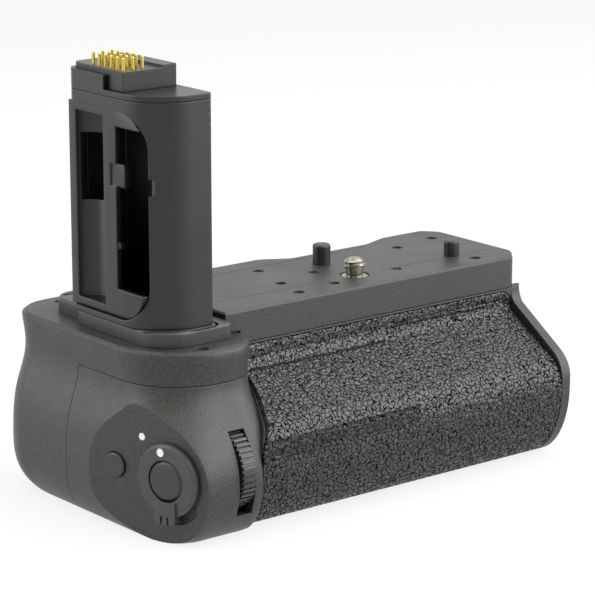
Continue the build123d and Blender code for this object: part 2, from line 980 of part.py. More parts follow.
# Lock ring round the release button
ring_dot_along = (ring_radius + ring_bore_radius) / 2 * cos(radians(ring_dot_turn))
ring_dot_up = (ring_radius + ring_bore_radius) / 2 * sin(radians(ring_dot_turn))
facet_axis = Axis(facet.origin, facet.z_dir)
with BuildPart() as lock_ring:
    with BuildSketch(local_plane(facet, release_u, release_z, ring_lift)):
        Circle(ring_radius)
    extrude(amount=ring_proud - ring_lift)
    chamfer(lock_ring.faces().sort_by(facet_axis)[-1].edges(), length=ring_edge)
    with BuildSketch(local_plane(facet, release_u, release_z, ring_lift)):
        with Locations((0, -(lug_reach + release_radius) / 2)):
            Rectangle(lug_width, lug_reach - release_radius)
        Circle(lug_reach, mode=Mode.INTERSECT)
    extrude(amount=lug_height - ring_lift)
    with BuildSketch(local_plane(facet, release_u, release_z, lug_height)):
        with Locations((-lug_groove_pitch / 2, -lug_reach), (lug_groove_pitch / 2, -lug_reach)):
            Rectangle(lug_groove, 2 * (lug_reach - ring_radius) + ring_edge)
    extrude(amount=-lug_groove, mode=Mode.SUBTRACT)
    with BuildSketch(local_plane(facet, release_u, release_z, ring_lift)):
        Circle(collar_radius)
    extrude(amount=-collar_reach - ring_lift)
    with BuildSketch(local_plane(facet, release_u, release_z, -collar_reach)):
        Circle(ring_bore_radius)
    extrude(amount=collar_reach + lug_height, mode=Mode.SUBTRACT)
    ring_dot_plane = local_plane(
        facet, release_u + ring_dot_along, release_z + ring_dot_up, ring_proud
    )
    with BuildSketch(ring_dot_plane):
        Circle(ring_dot_radius)
    extrude(amount=-dot_depth, mode=Mode.SUBTRACT)
save(lock_ring, "lock_ring")

with BuildPart() as ring_dot:
    add(disc(ring_dot_plane.offset(-dot_depth), ring_dot_radius, dot_depth))
save(ring_dot, "ring_dot")

with BuildPart() as ring_clip:
    with BuildSketch(local_plane(facet, release_u, release_z, -collar_reach)):
        Circle(clip_radius)
        Circle(collar_radius, mode=Mode.SUBTRACT)
        with Locations((0, clip_radius)):
            Rectangle(collar_radius, collar_radius, mode=Mode.SUBTRACT)
    extrude(amount=clip_thickness)
save(ring_clip, "ring_clip")

with BuildPart() as release_button:
    with BuildSketch(local_plane(facet, release_u, release_z, -collar_reach)):
        Circle(release_radius)
    extrude(amount=collar_reach + release_proud)
    chamfer(release_button.faces().sort_by(facet_axis)[-1].edges(), length=release_dome)
    with BuildSketch(local_plane(facet, release_u, release_z, -collar_reach - running_gap)):
        Circle(release_radius + button_flange)
    extrude(amount=-button_flange_depth)
    with BuildSketch(local_plane(facet, release_u, release_z, -collar_reach)):
        Circle(release_radius - running_gap)
    extrude(amount=-running_gap)
    with BuildSketch(local_plane(facet, release_u, release_z, -collar_reach)):
        Circle(stem_radius)
    extrude(amount=collar_reach - release_reach)
save(release_button, "release_button")


def push_button(face, along, height, radius, proud, name):
    """A round push button with a retaining flange and a stem over its switch."""
    with BuildPart() as button:
        with BuildSketch(local_plane(face, along, height, -wall - running_gap)):
            Circle(radius)
        extrude(amount=wall + running_gap + proud)
        chamfer(
            button.faces().sort_by(Axis(face.origin, face.z_dir))[-1].edges(),
            length=button_edge,
        )
        with BuildSketch(local_plane(face, along, height, -wall - running_gap)):
            Circle(radius + button_flange)
        extrude(amount=-button_flange_depth)
        with BuildSketch(local_plane(face, along, height, -wall - running_gap)):
            Circle(stem_radius)
        extrude(amount=wall + running_gap - button_reach)
    save(button, name)


push_button(facet, function_u, function_z, function_radius, function_proud, "function_button")
push_button(back_face, -focus_x, focus_z, focus_radius, focus_proud, "focus_button")
push_button(back_face, -info_x, info_z, info_radius, info_proud, "info_button")

# Boards and switches behind the controls
with BuildPart() as control_board:
    board_u = (front_board_start_u + front_board_end_u) / 2
    board_z = (front_board_low_z + front_board_high_z) / 2
    with BuildSketch(local_plane(facet, board_u, board_z, -board_depth)):
        Rectangle(front_board_end_u - front_board_start_u, front_board_high_z - front_board_low_z)
    extrude(amount=-board_thickness)
save(control_board, "control_board")

with BuildPart() as rear_board:
    board_left = stick_x - base_radius - rear_board_margin
    board_right = focus_x + focus_radius
    board_low = stick_z - base_radius
    board_high = focus_z + focus_radius
    board_mid_x = (board_left + board_right) / 2
    board_mid_z = (board_low + board_high) / 2
    with BuildSketch(local_plane(back_face, -board_mid_x, board_mid_z, -board_depth)):
        Rectangle(board_right - board_left, board_high - board_low)
    extrude(amount=-board_thickness)
save(rear_board, "rear_board")

with BuildPart() as key_switches:
    for face, along, height in [
        (facet, release_u, release_z),
        (facet, function_u, function_z),
        (back_face, -focus_x, focus_z),
        (back_face, -info_x, info_z),
    ]:
        with BuildSketch(local_plane(face, along, height, -board_depth)):
            Rectangle(switch_side, switch_side)
        extrude(amount=switch_height)
        add(
            disc(
                local_plane(face, along, height, switch_height - board_depth),
                plunger_radius,
                plunger_height,
            )
        )
save(key_switches, "key_switches")

# Front dial on its axle
with BuildPart() as front_dial:
    dial_plane = Plane(
        origin=(dial_mid_x - dial_width / 2, dial_axis_y, dial_mid_z), x_dir=(0, 1, 0), z_dir=(1, 0, 0)
    )
    dial_disc = ribbed_sketch(dial_plane, dial_radius, dial_rib_depth, dial_rib_count)
    extrude(dial_disc, amount=dial_width, dir=dial_plane.z_dir)
    with BuildSketch(dial_plane.offset(-dial_hub_step)):
        Circle(dial_hub_radius)
    extrude(amount=dial_width + 2 * dial_hub_step)
    with BuildSketch(dial_plane.offset(-wall)):
        Circle(axle_radius + axle_clearance)
    extrude(amount=dial_width + 2 * wall, mode=Mode.SUBTRACT)
save(front_dial, "front_dial")

bracket_left_x = dial_slot_left_x - bracket_thickness
bracket_right_x = dial_slot_right_x + bracket_thickness
with BuildPart() as front_dial_axle:
    axle_plane = Plane(
        origin=(bracket_left_x, dial_axis_y, dial_mid_z), x_dir=(0, 1, 0), z_dir=(1, 0, 0)
    )
    with BuildSketch(axle_plane):
        Circle(axle_radius)
    extrude(amount=bracket_right_x - bracket_left_x)
save(front_dial_axle, "front_dial_axle")

with BuildPart() as front_dial_bracket:
    add(
        box_between(
            (bracket_left_x, bracket_front_y, wall),
            (bracket_right_x, bracket_back_y, wall + bracket_base_thickness),
        )
    )
    for side_x in (bracket_left_x, dial_slot_right_x):
        with BuildSketch(Plane.YZ.offset(side_x)):
            Polygon(
                (bracket_front_y, wall),
                (bracket_back_y, wall),
                (dial_axis_y + bracket_eye_radius, dial_mid_z),
                (dial_axis_y - bracket_eye_radius, dial_mid_z),
                align=None,
            )
            with Locations((dial_axis_y, dial_mid_z)):
                Circle(bracket_eye_radius)
                Circle(axle_radius, mode=Mode.SUBTRACT)
        extrude(amount=bracket_thickness)
save(front_dial_bracket, "front_dial_bracket")

# Rear dial on its upright axle
rear_dial_low_z = rear_dial_z - rear_dial_width / 2
with BuildPart() as rear_dial:
    rear_dial_plane = Plane(origin=(rear_dial_x, rear_dial_axis_y, rear_dial_low_z))
    add(ribbed_sketch(rear_dial_plane, rear_dial_radius, dial_rib_depth, rear_dial_rib_count))
    extrude(amount=rear_dial_width)
    with BuildSketch(rear_dial_plane):
        Circle(axle_radius + axle_clearance)
    extrude(amount=rear_dial_width, mode=Mode.SUBTRACT)
save(rear_dial, "rear_dial")

rear_arm_gap = rear_dial_width / 2 + dial_side_gap
with BuildPart() as rear_dial_axle:
    with BuildSketch(
        Plane(origin=(rear_dial_x, rear_dial_axis_y, rear_dial_z - rear_arm_gap - bracket_thickness))
    ):
        Circle(axle_radius)
    extrude(amount=2 * (rear_arm_gap + bracket_thickness))
save(rear_dial_axle, "rear_dial_axle")

with BuildPart() as rear_dial_bracket:
    for arm_z in (rear_dial_z - rear_arm_gap - bracket_thickness, rear_dial_z + rear_arm_gap):
        with BuildSketch(Plane.XY.offset(arm_z)):
            with Locations((rear_dial_x, rear_dial_axis_y)):
                Circle(rear_bracket_half)
            with Locations((rear_dial_x, (rear_dial_axis_y + rear_web_y) / 2)):
                Rectangle(2 * rear_bracket_half, rear_dial_axis_y - rear_web_y)
            with Locations((rear_dial_x, rear_dial_axis_y)):
                Circle(axle_radius, mode=Mode.SUBTRACT)
        extrude(amount=bracket_thickness)
    add(
        box_between(
            (
                rear_dial_x - rear_bracket_half,
                rear_web_y - bracket_thickness,
                rear_dial_z - rear_arm_gap - bracket_thickness,
            ),
            (rear_dial_x + rear_bracket_half, rear_web_y, block_height - wall),
        )
    )
save(rear_dial_bracket, "rear_dial_bracket")

# Multi-way stick in its gimbal
with BuildPart() as selector_base:
    with BuildSketch(local_plane(back_face, -stick_x, stick_z, -board_depth)):
        Circle(base_radius)
        Circle(gimbal_radius + 2 * running_gap, mode=Mode.SUBTRACT)
    extrude(amount=board_depth - wall - running_gap)
save(selector_base, "selector_base")

with BuildPart() as selector_gimbal:
    with BuildSketch(
        local_plane(back_face, -stick_x, stick_z, -gimbal_depth - gimbal_height / 2)
    ):
        Circle(gimbal_radius)
        Circle(gimbal_bore_radius, mode=Mode.SUBTRACT)
    extrude(amount=gimbal_height)
save(selector_gimbal, "selector_gimbal")

with BuildPart() as selector_stick:
    with BuildSketch(local_plane(back_face, -stick_x, stick_z, -gimbal_depth - gimbal_height)):
        Circle(stick_stem_radius)
    extrude(amount=gimbal_depth + gimbal_height + stick_proud)
    with BuildSketch(local_plane(back_face, -stick_x, stick_z, stick_proud)):
        Circle(stick_radius)
    extrude(amount=stick_height)
    chamfer(
        selector_stick.faces().sort_by(Axis(back_face.origin, back_face.z_dir))[-1].edges(),
        length=stick_height / 2,
    )
save(selector_stick, "selector_stick")

# Plug base with its seal
with BuildPart() as plug_base:
    with BuildSketch(Plane.XY.offset(block_height)):
        with BuildLine():
            FilletPolyline(
                (base_right_x, base_step_y),
                (base_right_x, base_front_y),
                (base_left_x, base_front_y),
                (base_left_x, base_step_y),
                radius=[base_edge_radius, base_small_radius, base_front_radius, base_edge_radius],
                close=True,
            )
        make_face()
        with BuildLine():
            FilletPolyline(
                (base_back_right_x, base_step_y - wall),
                (base_back_right_x, base_back_y),
                (base_back_left_x, base_back_y),
                (base_back_left_x, base_step_y - wall),
                radius=[0, base_small_radius, base_back_radius, 0],
                close=True,
            )
        make_face()
    extrude(amount=base_top_z - block_height)
    chamfer(plug_base.faces().sort_by(Axis.Z)[-1].edges(), length=base_edge_radius)
    with BuildSketch(Plane.XY.offset(base_top_z)):
        with Locations(((seal_left_x + seal_right_x) / 2, seal_y)):
            SlotOverall(seal_right_x - seal_left_x, seal_width)
    extrude(amount=-seal_depth, mode=Mode.SUBTRACT)
    with BuildSketch(Plane.XY.offset(base_top_z)):
        add(offset(plug_outline(base_top_z, 0), amount=2 * rim_groove_width, mode=Mode.PRIVATE))
        add(
            offset(plug_outline(base_top_z, 0), amount=rim_groove_width, mode=Mode.PRIVATE),
            mode=Mode.SUBTRACT,
        )
        with Locations(((plug_left_x + plug_right_x) / 2, plug_back_y)):
            Rectangle(plug_right_x - plug_left_x + overrun, plug_back_y, mode=Mode.SUBTRACT)
    extrude(amount=-rim_groove_depth, mode=Mode.SUBTRACT)
save(plug_base, "plug_base")

with BuildPart() as plug_seal:
    with BuildSketch(Plane.XY.offset(base_top_z - seal_depth)):
        with Locations(((seal_left_x + seal_right_x) / 2, seal_y)):
            SlotOverall(seal_right_x - seal_left_x, seal_width)
    extrude(amount=seal_depth - seal_drop)
save(plug_seal, "plug_seal")

# Battery-shaped plug
cap_seam_z = plug_top_z - cap_thickness
with BuildPart() as plug_shell:
    add(plug_outline(base_top_z, 0))
    extrude(amount=cap_seam_z - base_top_z - seam_gap)
    with BuildSketch(Plane.XY.offset(base_top_z)):
        add(plug_outline(base_top_z, plug_wall))
    extrude(amount=cap_seam_z - base_top_z, mode=Mode.SUBTRACT)
    with BuildSketch(Plane.YZ.offset(plug_left_x - plug_wall)):
        with BuildLine():
            FilletPolyline(
                (plug_back_y + plug_wall, opening_low_z),
                (opening_front_y, opening_low_z),
                (opening_front_y, opening_high_z),
                (plug_back_y + plug_wall, opening_high_z),
                radius=opening_radius,
            )
            Line(
                (plug_back_y + plug_wall, opening_high_z),
                (plug_back_y + plug_wall, opening_low_z),
            )
        make_face()
    extrude(amount=opening_depth_x - plug_left_x + plug_wall, mode=Mode.SUBTRACT)
    with BuildSketch(Plane.YZ.offset(opening_depth_x - plug_wall)):
        with Locations((opening_front_y, (nick_low_z + nick_high_z) / 2)):
            Circle((nick_high_z - nick_low_z) / 2)
    extrude(amount=-plug_wall * 2, mode=Mode.SUBTRACT)
    with BuildSketch(Plane.XZ.offset(-plug_front_y)):
        with Locations(
            (plug_right_x, plug_notch_low_z), (plug_right_x, plug_notch_low_z + plug_notch_pitch)
        ):
            Rectangle(2 * plug_notch_length, plug_notch_height)
    extrude(amount=-plug_notch_depth, mode=Mode.SUBTRACT)
save(plug_shell, "plug_shell")

panel_x = plug_left_x + panel_inset
panel_inner_x = panel_x + panel_thickness
with BuildPart() as plug_frame:
    with BuildSketch(Plane.YZ.offset(panel_x)):
        with BuildLine():
            FilletPolyline(
                (plug_back_y - plug_back_radius, opening_low_z + seam_gap),
                (opening_front_y + seam_gap, opening_low_z + seam_gap),
                (opening_front_y + seam_gap, opening_high_z - seam_gap),
                (plug_back_y - plug_back_radius, opening_high_z - seam_gap),
                radius=opening_radius,
            )
            Line(
                (plug_back_y - plug_back_radius, opening_high_z - seam_gap),
                (plug_back_y - plug_back_radius, opening_low_z + seam_gap),
            )
        make_face()
    extrude(amount=panel_thickness)
    add(
        box_between(
            (panel_x, plug_back_y - plug_back_radius, opening_low_z + seam_gap),
            (panel_inner_x, plug_back_y, opening_high_z - seam_gap),
        )
    )
    add(
        box_between(
            (panel_x, plug_back_y - panel_thickness, opening_low_z + seam_gap),
            (opening_depth_x - seam_gap, plug_back_y, opening_high_z - seam_gap),
        )
    )
    with BuildSketch(Plane.XY.offset(channel_low_z)):
        with Locations((plug_left_x, channel_y)):
            Circle(channel_radius + channel_wall)
            Rectangle(
                2 * channel_radius + 2 * channel_wall,
                2 * channel_radius + 2 * channel_wall,
                align=(Align.MAX, Align.CENTER),
                mode=Mode.SUBTRACT,
            )
    extrude(amount=channel_high_z - channel_low_z)
    with BuildSketch(Plane.XY.offset(channel_low_z + channel_wall)):
        with Locations((plug_left_x, channel_y)):
            Circle(channel_radius)
    extrude(amount=channel_high_z - channel_low_z - 2 * channel_wall, mode=Mode.SUBTRACT)
    add(
        box_between(
            (panel_inner_x, channel_y - channel_radius, gate_low_z),
            (plug_right_x, channel_y + channel_radius, gate_high_z),
        ),
        mode=Mode.SUBTRACT,
    )
    add(
        box_between(
            (plug_left_x - wall, opening_front_y - wall, window_low_z),
            (panel_inner_x + tab_thickness, window_back_y, window_high_z),
        ),
        mode=Mode.SUBTRACT,
    )
    add(
        box_between(
            (panel_x + tab_pocket, tab_front_y, tab_low_z),
            (panel_x + tab_pocket + tab_thickness, window_back_y, tab_high_z),
        )
    )
    add(
        box_between(
            (plug_left_x - wall, window_back_y - tab_pocket, tab_low_z),
            (panel_x + tab_pocket, tab_back_y, tab_high_z),
        ),
        mode=Mode.SUBTRACT,
    )
    add(
        box_between(
            (panel_x + tab_pocket, peg_front_y, peg_low_z),
            (panel_inner_x + tab_pocket, window_back_y, peg_high_z),
        )
    )
save(plug_frame, "plug_frame")

with BuildPart() as plug_cap:
    add(plug_outline(cap_seam_z, 0))
    extrude(amount=cap_thickness)
    with BuildSketch(Plane.XY.offset(plug_top_z)):
        add(plug_outline(plug_top_z, 0))
        add(plug_outline(plug_top_z, skirt_wall), mode=Mode.SUBTRACT)
        with Locations((plug_left_x - wall, skirt_front_y)):
            Rectangle(
                skirt_wall * 2 + wall + plug_back_radius,
                plug_back_y,
                align=(Align.MIN, Align.MIN),
                mode=Mode.INTERSECT,
            )
    extrude(amount=skirt_top_z - plug_top_z)
    with BuildSketch(Plane.XY.offset(cap_seam_z)):
        with Locations(*pin_spots()):
            Circle(pin_radius + pin_clearance)
    extrude(amount=cap_thickness, mode=Mode.SUBTRACT)
save(plug_cap, "plug_cap")

with BuildPart() as contact_block:
    with BuildSketch(Plane.XY.offset(plug_top_z)):
        add(plug_outline(plug_top_z, skirt_wall + running_gap))
        with Locations((plug_right_x + wall, block_seat_y)):
            Rectangle(
                plug_right_x - plug_left_x + 2 * wall,
                plug_back_y + wall,
                align=(Align.MAX, Align.MIN),
                mode=Mode.INTERSECT,
            )
    extrude(amount=contact_top_z - plug_top_z)
    with BuildSketch(Plane.XY.offset(contact_top_z)):
        add(plug_outline(contact_top_z, skirt_wall + running_gap))
        with Locations((plug_right_x + wall, block_seat_y)):
            Rectangle(
                plug_right_x - contact_side_x + wall,
                plug_back_y + wall,
                align=(Align.MAX, Align.MIN),
                mode=Mode.INTERSECT,
            )
    extrude(amount=contact_side_rise)
    with BuildSketch(Plane.XY.offset(plug_top_z)):
        with Locations(*pin_spots()):
            Circle(pin_radius + pin_clearance)
    extrude(amount=contact_top_z - plug_top_z, mode=Mode.SUBTRACT)
save(contact_block, "contact_block")

with BuildPart() as plug_board:
    add(plug_outline(plug_board_z, plug_board_inset))
    extrude(amount=board_thickness)
save(plug_board, "plug_board")

pin_low_z = plug_board_z + board_thickness
with BuildPart() as contact_pins:
    with BuildSketch(Plane.XY.offset(pin_low_z)):
        with Locations(*pin_spots()):
            Circle(pin_radius)
    extrude(amount=pin_top_z - pin_low_z)
    chamfer(contact_pins.faces().group_by(Axis.Z)[-1].edges(), length=pin_point)
save(contact_pins, "contact_pins")

# Camera screw, its gear and the wheel that drives it
with BuildPart() as camera_screw:
    for low, high, radius in [
        (chassis_low_z, screw_collar_low_z, screw_shaft_radius),
        (screw_collar_low_z, screw_collar_high_z, screw_collar_radius),
        (screw_collar_high_z, screw_thread_low_z, screw_neck_radius),
        (screw_thread_low_z, screw_top_z, screw_radius),
    ]:
        with BuildSketch(Plane.XY.offset(low)):
            Circle(radius)
        extrude(amount=high - low)
    chamfer(camera_screw.faces().sort_by(Axis.Z)[-1].edges(), length=screw_tip)
save(camera_screw, "camera_screw")

with BuildPart() as screw_gear:
    add(gear_sketch(screw_gear_low_z, 0, 0, screw_teeth, 0))
    extrude(amount=screw_gear_high_z - screw_gear_low_z)
    with BuildSketch(Plane.XY.offset(screw_gear_low_z)):
        Circle(screw_shaft_radius)
    extrude(amount=screw_gear_high_z - screw_gear_low_z, mode=Mode.SUBTRACT)
save(screw_gear, "screw_gear")

with BuildPart() as mount_wheel:
    add(gear_sketch(wheel_low_z, wheel_x, wheel_y, wheel_teeth, wheel_phase))
    extrude(amount=wheel_high_z - wheel_low_z)
    with BuildSketch(Plane(origin=(wheel_x, wheel_y, wheel_low_z))):
        Circle(axle_radius + axle_clearance)
    extrude(amount=wheel_high_z - wheel_low_z, mode=Mode.SUBTRACT)
save(mount_wheel, "mount_wheel")

with BuildPart() as wheel_axle:
    with BuildSketch(Plane(origin=(wheel_x, wheel_y, chassis_low_z))):
        Circle(axle_radius)
    extrude(amount=deck_under_z - chassis_low_z)
save(wheel_axle, "wheel_axle")

with BuildPart() as mount_chassis:
    add(deck_outline(chassis_low_z, wall + running_gap, seam_top_x + seam_gap))
    extrude(amount=chassis_thickness)
    with BuildSketch(Plane.XY.offset(chassis_top_z)):
        with Locations(*deck_screw_spots):
            Circle(post_radius)
    extrude(amount=deck_under_z - chassis_top_z)
    with BuildSketch(Plane.XY.offset(chassis_low_z)):
        with Locations(*deck_screw_spots):
            Circle(small_shank_radius)
    extrude(amount=deck_under_z - chassis_low_z, mode=Mode.SUBTRACT)
    with BuildSketch(Plane.XY.offset(chassis_low_z)):
        Circle(screw_shaft_radius + axle_clearance)
        with Locations((wheel_x, wheel_y)):
            Circle(axle_radius)
    extrude(amount=chassis_thickness, mode=Mode.SUBTRACT)
save(mount_chassis, "mount_chassis")

# Locating pins
for name, x, y, radius, height in [
    ("left_locating_pin", left_pin_x, left_pin_y, left_pin_radius, left_pin_height),
    ("right_locating_pin", right_pin_x, right_pin_y, right_pin_radius, right_pin_height),
]:
    with BuildPart() as locating_pin:
        with BuildSketch(Plane(origin=(x, y, deck_under_z))):
            Circle(pin_foot_radius)
        extrude(amount=deck_thickness)
        with BuildSketch(Plane(origin=(x, y, body_height))):
            Circle(radius)
        extrude(amount=height)
        fillet(locating_pin.faces().sort_by(Axis.Z)[-1].edges(), radius=pin_round)
    save(locating_pin, name)

# Screws


def screw_group(name, spots, head_z, head_radius, length, point):
    """Small screws, their heads' tops at one height, pointing down or up."""
    with BuildPart() as group:
        for x, y in spots:
            with BuildSketch(Plane(origin=(x, y, head_z))):
                Circle(head_radius)
            extrude(amount=point * small_head_height)
            with BuildSketch(Plane(origin=(x, y, head_z))):
                Rectangle(2 * head_radius, screw_slot_width)
                Rectangle(screw_slot_width, 2 * head_radius)
                Circle(head_radius / 2, mode=Mode.INTERSECT)
            extrude(amount=point * small_head_height / 2, mode=Mode.SUBTRACT)
            with BuildSketch(Plane(origin=(x, y, head_z + point * small_head_height))):
                Circle(small_shank_radius)
            extrude(amount=point * length)
    save(group, name)


deck_head_z = body_height - small_recess + small_head_height
block_head_z = block_height - small_recess + small_head_height
bottom_head_z = bottom_recess - small_head_height
screw_group("deck_screws", deck_screw_spots, deck_head_z, small_head_radius, screw_length, -1)
screw_group("shoulder_screws", shoulder_spots, block_head_z, small_head_radius, wall, -1)
screw_group("bottom_screws", bottom_spots, bottom_head_z, bottom_head_radius, bottom_boss_height, 1)

# Tripod socket
with BuildPart() as tripod_socket:
    with BuildSketch(Plane.XY):
        Circle(socket_flange_radius)
    extrude(amount=socket_flange)
    with BuildSketch(Plane.XY):
        Circle(socket_body_radius)
    extrude(amount=socket_depth + socket_cap)
    with BuildSketch(Plane.XY):
        Circle(socket_radius)
    extrude(amount=socket_depth, mode=Mode.SUBTRACT)
save(tripod_socket, "tripod_socket")

# Battery tray with its door
tray_mid_y = (tray_front_y + tray_back_y) / 2
with BuildPart() as battery_tray:
    add(
        box_between(
            (tray_left_x, tray_front_y, tray_floor_z),
            (door_inner_x, tray_back_y, pocket_floor_z + tray_side_height),
        )
    )
    for pocket_y in (tray_front_y + tray_wall, tray_mid_y + tray_divider / 2):
        add(
            box_between(
                (pocket_left_x, pocket_y, pocket_floor_z),
                (pocket_right_x, pocket_y + battery_thickness, body_height),
            ),
            mode=Mode.SUBTRACT,
        )
    add(
        box_between(
            (tray_end_right_x, tray_front_y + tray_end, pocket_floor_z),
            (door_inner_x, tray_back_y + wall, pocket_floor_z + tray_side_height - tray_end),
        ),
        mode=Mode.SUBTRACT,
    )
    window_length = battery_length * tray_window_share
    with BuildSketch(Plane.XZ.offset(-tray_back_y - wall)):
        with Locations(
            ((pocket_left_x + pocket_right_x) / 2, pocket_floor_z + tray_side_height)
        ):
            SlotOverall(window_length, tray_window_height)
    extrude(amount=tray_depth + 2 * wall, mode=Mode.SUBTRACT)
    for pocket_y in (tray_front_y + tray_wall, tray_mid_y + tray_divider / 2):
        with BuildSketch(Plane.YZ.offset(tray_left_x)):
            with Locations((pocket_y + battery_thickness / 2, pocket_floor_z + battery_width / 2)):
                Rectangle(contact_pitch * contact_count, contact_pitch * 2)
        extrude(amount=tray_wall, mode=Mode.SUBTRACT)
save(battery_tray, "battery_tray")

with BuildPart() as tray_door:
    with BuildSketch(Plane.YZ.offset(door_inner_x)):
        with Locations((tray_mid_y, (door_low_z + door_high_z) / 2)):
            RectangleRounded(tray_depth, door_high_z - door_low_z, door_corner_radius)
    extrude(amount=door_thickness)
    chamfer(tray_door.faces().sort_by(Axis.X)[-1].edges(), length=door_edge)
    with BuildSketch(Plane.YZ.offset(body_right)):
        with Locations((latch_y, latch_z)):
            Circle(latch_radius + running_gap)
    extrude(amount=-latch_dish_depth, mode=Mode.SUBTRACT)
    with BuildSketch(Plane.YZ.offset(door_inner_x)):
        with Locations((latch_y, latch_z)):
            Circle(latch_shaft_radius + axle_clearance)
    extrude(amount=door_thickness, mode=Mode.SUBTRACT)
save(tray_door, "tray_door")

with BuildPart() as tray_latch:
    with BuildSketch(Plane.YZ.offset(body_right - latch_dish_depth + axle_clearance)):
        with Locations((latch_y, latch_z)):
            Circle(latch_radius)
    extrude(amount=latch_dish_depth - axle_clearance)
    with BuildSketch(Plane.YZ.offset(body_right)):
        with Locations((latch_y, latch_z)):
            Rectangle(latch_bar_width, 2 * latch_radius)
            Circle(latch_radius - door_edge, mode=Mode.INTERSECT)
    extrude(amount=latch_bar_height)
    with BuildSketch(Plane.YZ.offset(door_inner_x - axle_clearance - pawl_thickness)):
        with Locations((latch_y, latch_z)):
            Circle(latch_shaft_radius)
    extrude(amount=pawl_thickness + axle_clearance + door_thickness - latch_dish_depth + 2 * axle_clearance)
    with BuildSketch(Plane.YZ.offset(door_inner_x - axle_clearance)):
        with Locations((latch_y, latch_z)):
            Circle(pawl_width / 2)
            Rectangle(pawl_width, pawl_length, align=(Align.CENTER, Align.MIN))
    extrude(amount=-pawl_thickness)
save(tray_latch, "tray_latch")

# Bay for the tray, with its battery contacts
liner_front_y = tray_front_y - liner_clearance - liner_wall
liner_back_y = tray_back_y + liner_clearance + liner_wall
liner_floor_z = tray_floor_z - liner_clearance - liner_floor
liner_right_x = door_inner_x - liner_clearance
with BuildPart() as bay_liner:
    add(
        box_between(
            (bay_left_x, liner_front_y, liner_floor_z),
            (liner_right_x, liner_back_y, band_z - roof),
        )
    )
    add(
        box_between(
            (bay_left_x + liner_wall, liner_front_y + liner_wall, liner_floor_z + liner_floor),
            (body_right, liner_back_y - liner_wall, body_height),
        ),
        mode=Mode.SUBTRACT,
    )
    for rib_x in (bay_left_x, (liner_right_x + bay_left_x) / 2, liner_right_x - liner_rib):
        add(
            box_between(
                (rib_x, liner_front_y, wall),
                (rib_x + liner_rib, rear_y - bottom_radius, liner_floor_z),
            )
        )
    add(
        box_between(
            (tray_end_right_x, latch_y, latch_z - pawl_width),
            (liner_right_x + wall, liner_back_y + wall, latch_z + pawl_width),
        ),
        mode=Mode.SUBTRACT,
    )
save(bay_liner, "bay_liner")

with BuildPart() as bay_contacts:
    contact_base_x = bay_left_x + liner_wall
    strip_x = contact_base_x + contact_plate
    plate_half = contact_pitch * contact_count / 2
    middle_z = pocket_floor_z + battery_width / 2
    for pocket_y in (tray_front_y + tray_wall, tray_mid_y + tray_divider / 2):
        middle_y = pocket_y + battery_thickness / 2
        add(
            box_between(
                (contact_base_x, middle_y - plate_half, middle_z - contact_pitch),
                (contact_base_x + contact_plate, middle_y + plate_half, middle_z + contact_pitch),
            )
        )
        for i in range(contact_count):
            strip_y = middle_y + (i - (contact_count - 1) / 2) * strip_pitch
            add(
                box_between(
                    (strip_x, strip_y - contact_strip, middle_z - contact_width),
                    (strip_x + contact_reach, strip_y + contact_strip, middle_z + contact_width),
                )
            )
save(bay_contacts, "bay_contacts")
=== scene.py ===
"""A camera battery grip in moulded plastic and pebbled rubber, on a plain white floor."""
import math

import bpy
from bpy.props import (
    FloatProperty,
    FloatVectorProperty,
    IntProperty,
    PointerProperty,
    StringProperty,
)
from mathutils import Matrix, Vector


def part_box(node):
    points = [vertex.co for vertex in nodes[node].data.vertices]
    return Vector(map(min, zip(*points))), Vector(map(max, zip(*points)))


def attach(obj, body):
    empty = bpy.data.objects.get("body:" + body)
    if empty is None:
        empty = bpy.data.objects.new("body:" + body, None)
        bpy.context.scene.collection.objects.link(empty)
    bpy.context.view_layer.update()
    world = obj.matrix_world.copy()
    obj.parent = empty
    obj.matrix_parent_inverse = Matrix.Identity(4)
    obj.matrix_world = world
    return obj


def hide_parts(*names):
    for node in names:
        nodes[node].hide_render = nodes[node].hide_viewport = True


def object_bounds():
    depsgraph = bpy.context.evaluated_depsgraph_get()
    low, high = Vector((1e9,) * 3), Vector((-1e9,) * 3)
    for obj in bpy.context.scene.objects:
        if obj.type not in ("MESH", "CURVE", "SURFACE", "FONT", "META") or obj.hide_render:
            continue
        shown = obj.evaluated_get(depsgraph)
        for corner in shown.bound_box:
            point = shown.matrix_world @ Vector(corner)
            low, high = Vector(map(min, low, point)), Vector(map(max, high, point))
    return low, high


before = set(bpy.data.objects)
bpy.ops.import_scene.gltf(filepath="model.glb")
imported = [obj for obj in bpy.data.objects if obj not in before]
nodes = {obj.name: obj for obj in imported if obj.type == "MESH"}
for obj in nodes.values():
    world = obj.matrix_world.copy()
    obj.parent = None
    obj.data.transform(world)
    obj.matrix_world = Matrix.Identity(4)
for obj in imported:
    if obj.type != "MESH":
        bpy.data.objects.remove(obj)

bl_info = {
    "name": "Camera Battery Grip",
    "version": (1, 0, 0),
    "blender": (4, 5, 0),
    "location": "View3D > Sidebar > Battery Grip",
    "description": "Dresses the battery grip with its rubber, threads and finishes",
    "category": "Object",
}

MM = 0.001
CAD_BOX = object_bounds()

# Sockets of a colour mix
MIX_LOW, MIX_HIGH, MIX_RESULT = 6, 7, 2

# Distances under which two corners of a mesh are one
WELD = 0.005 * MM
THREAD_WELD = 0.001 * MM

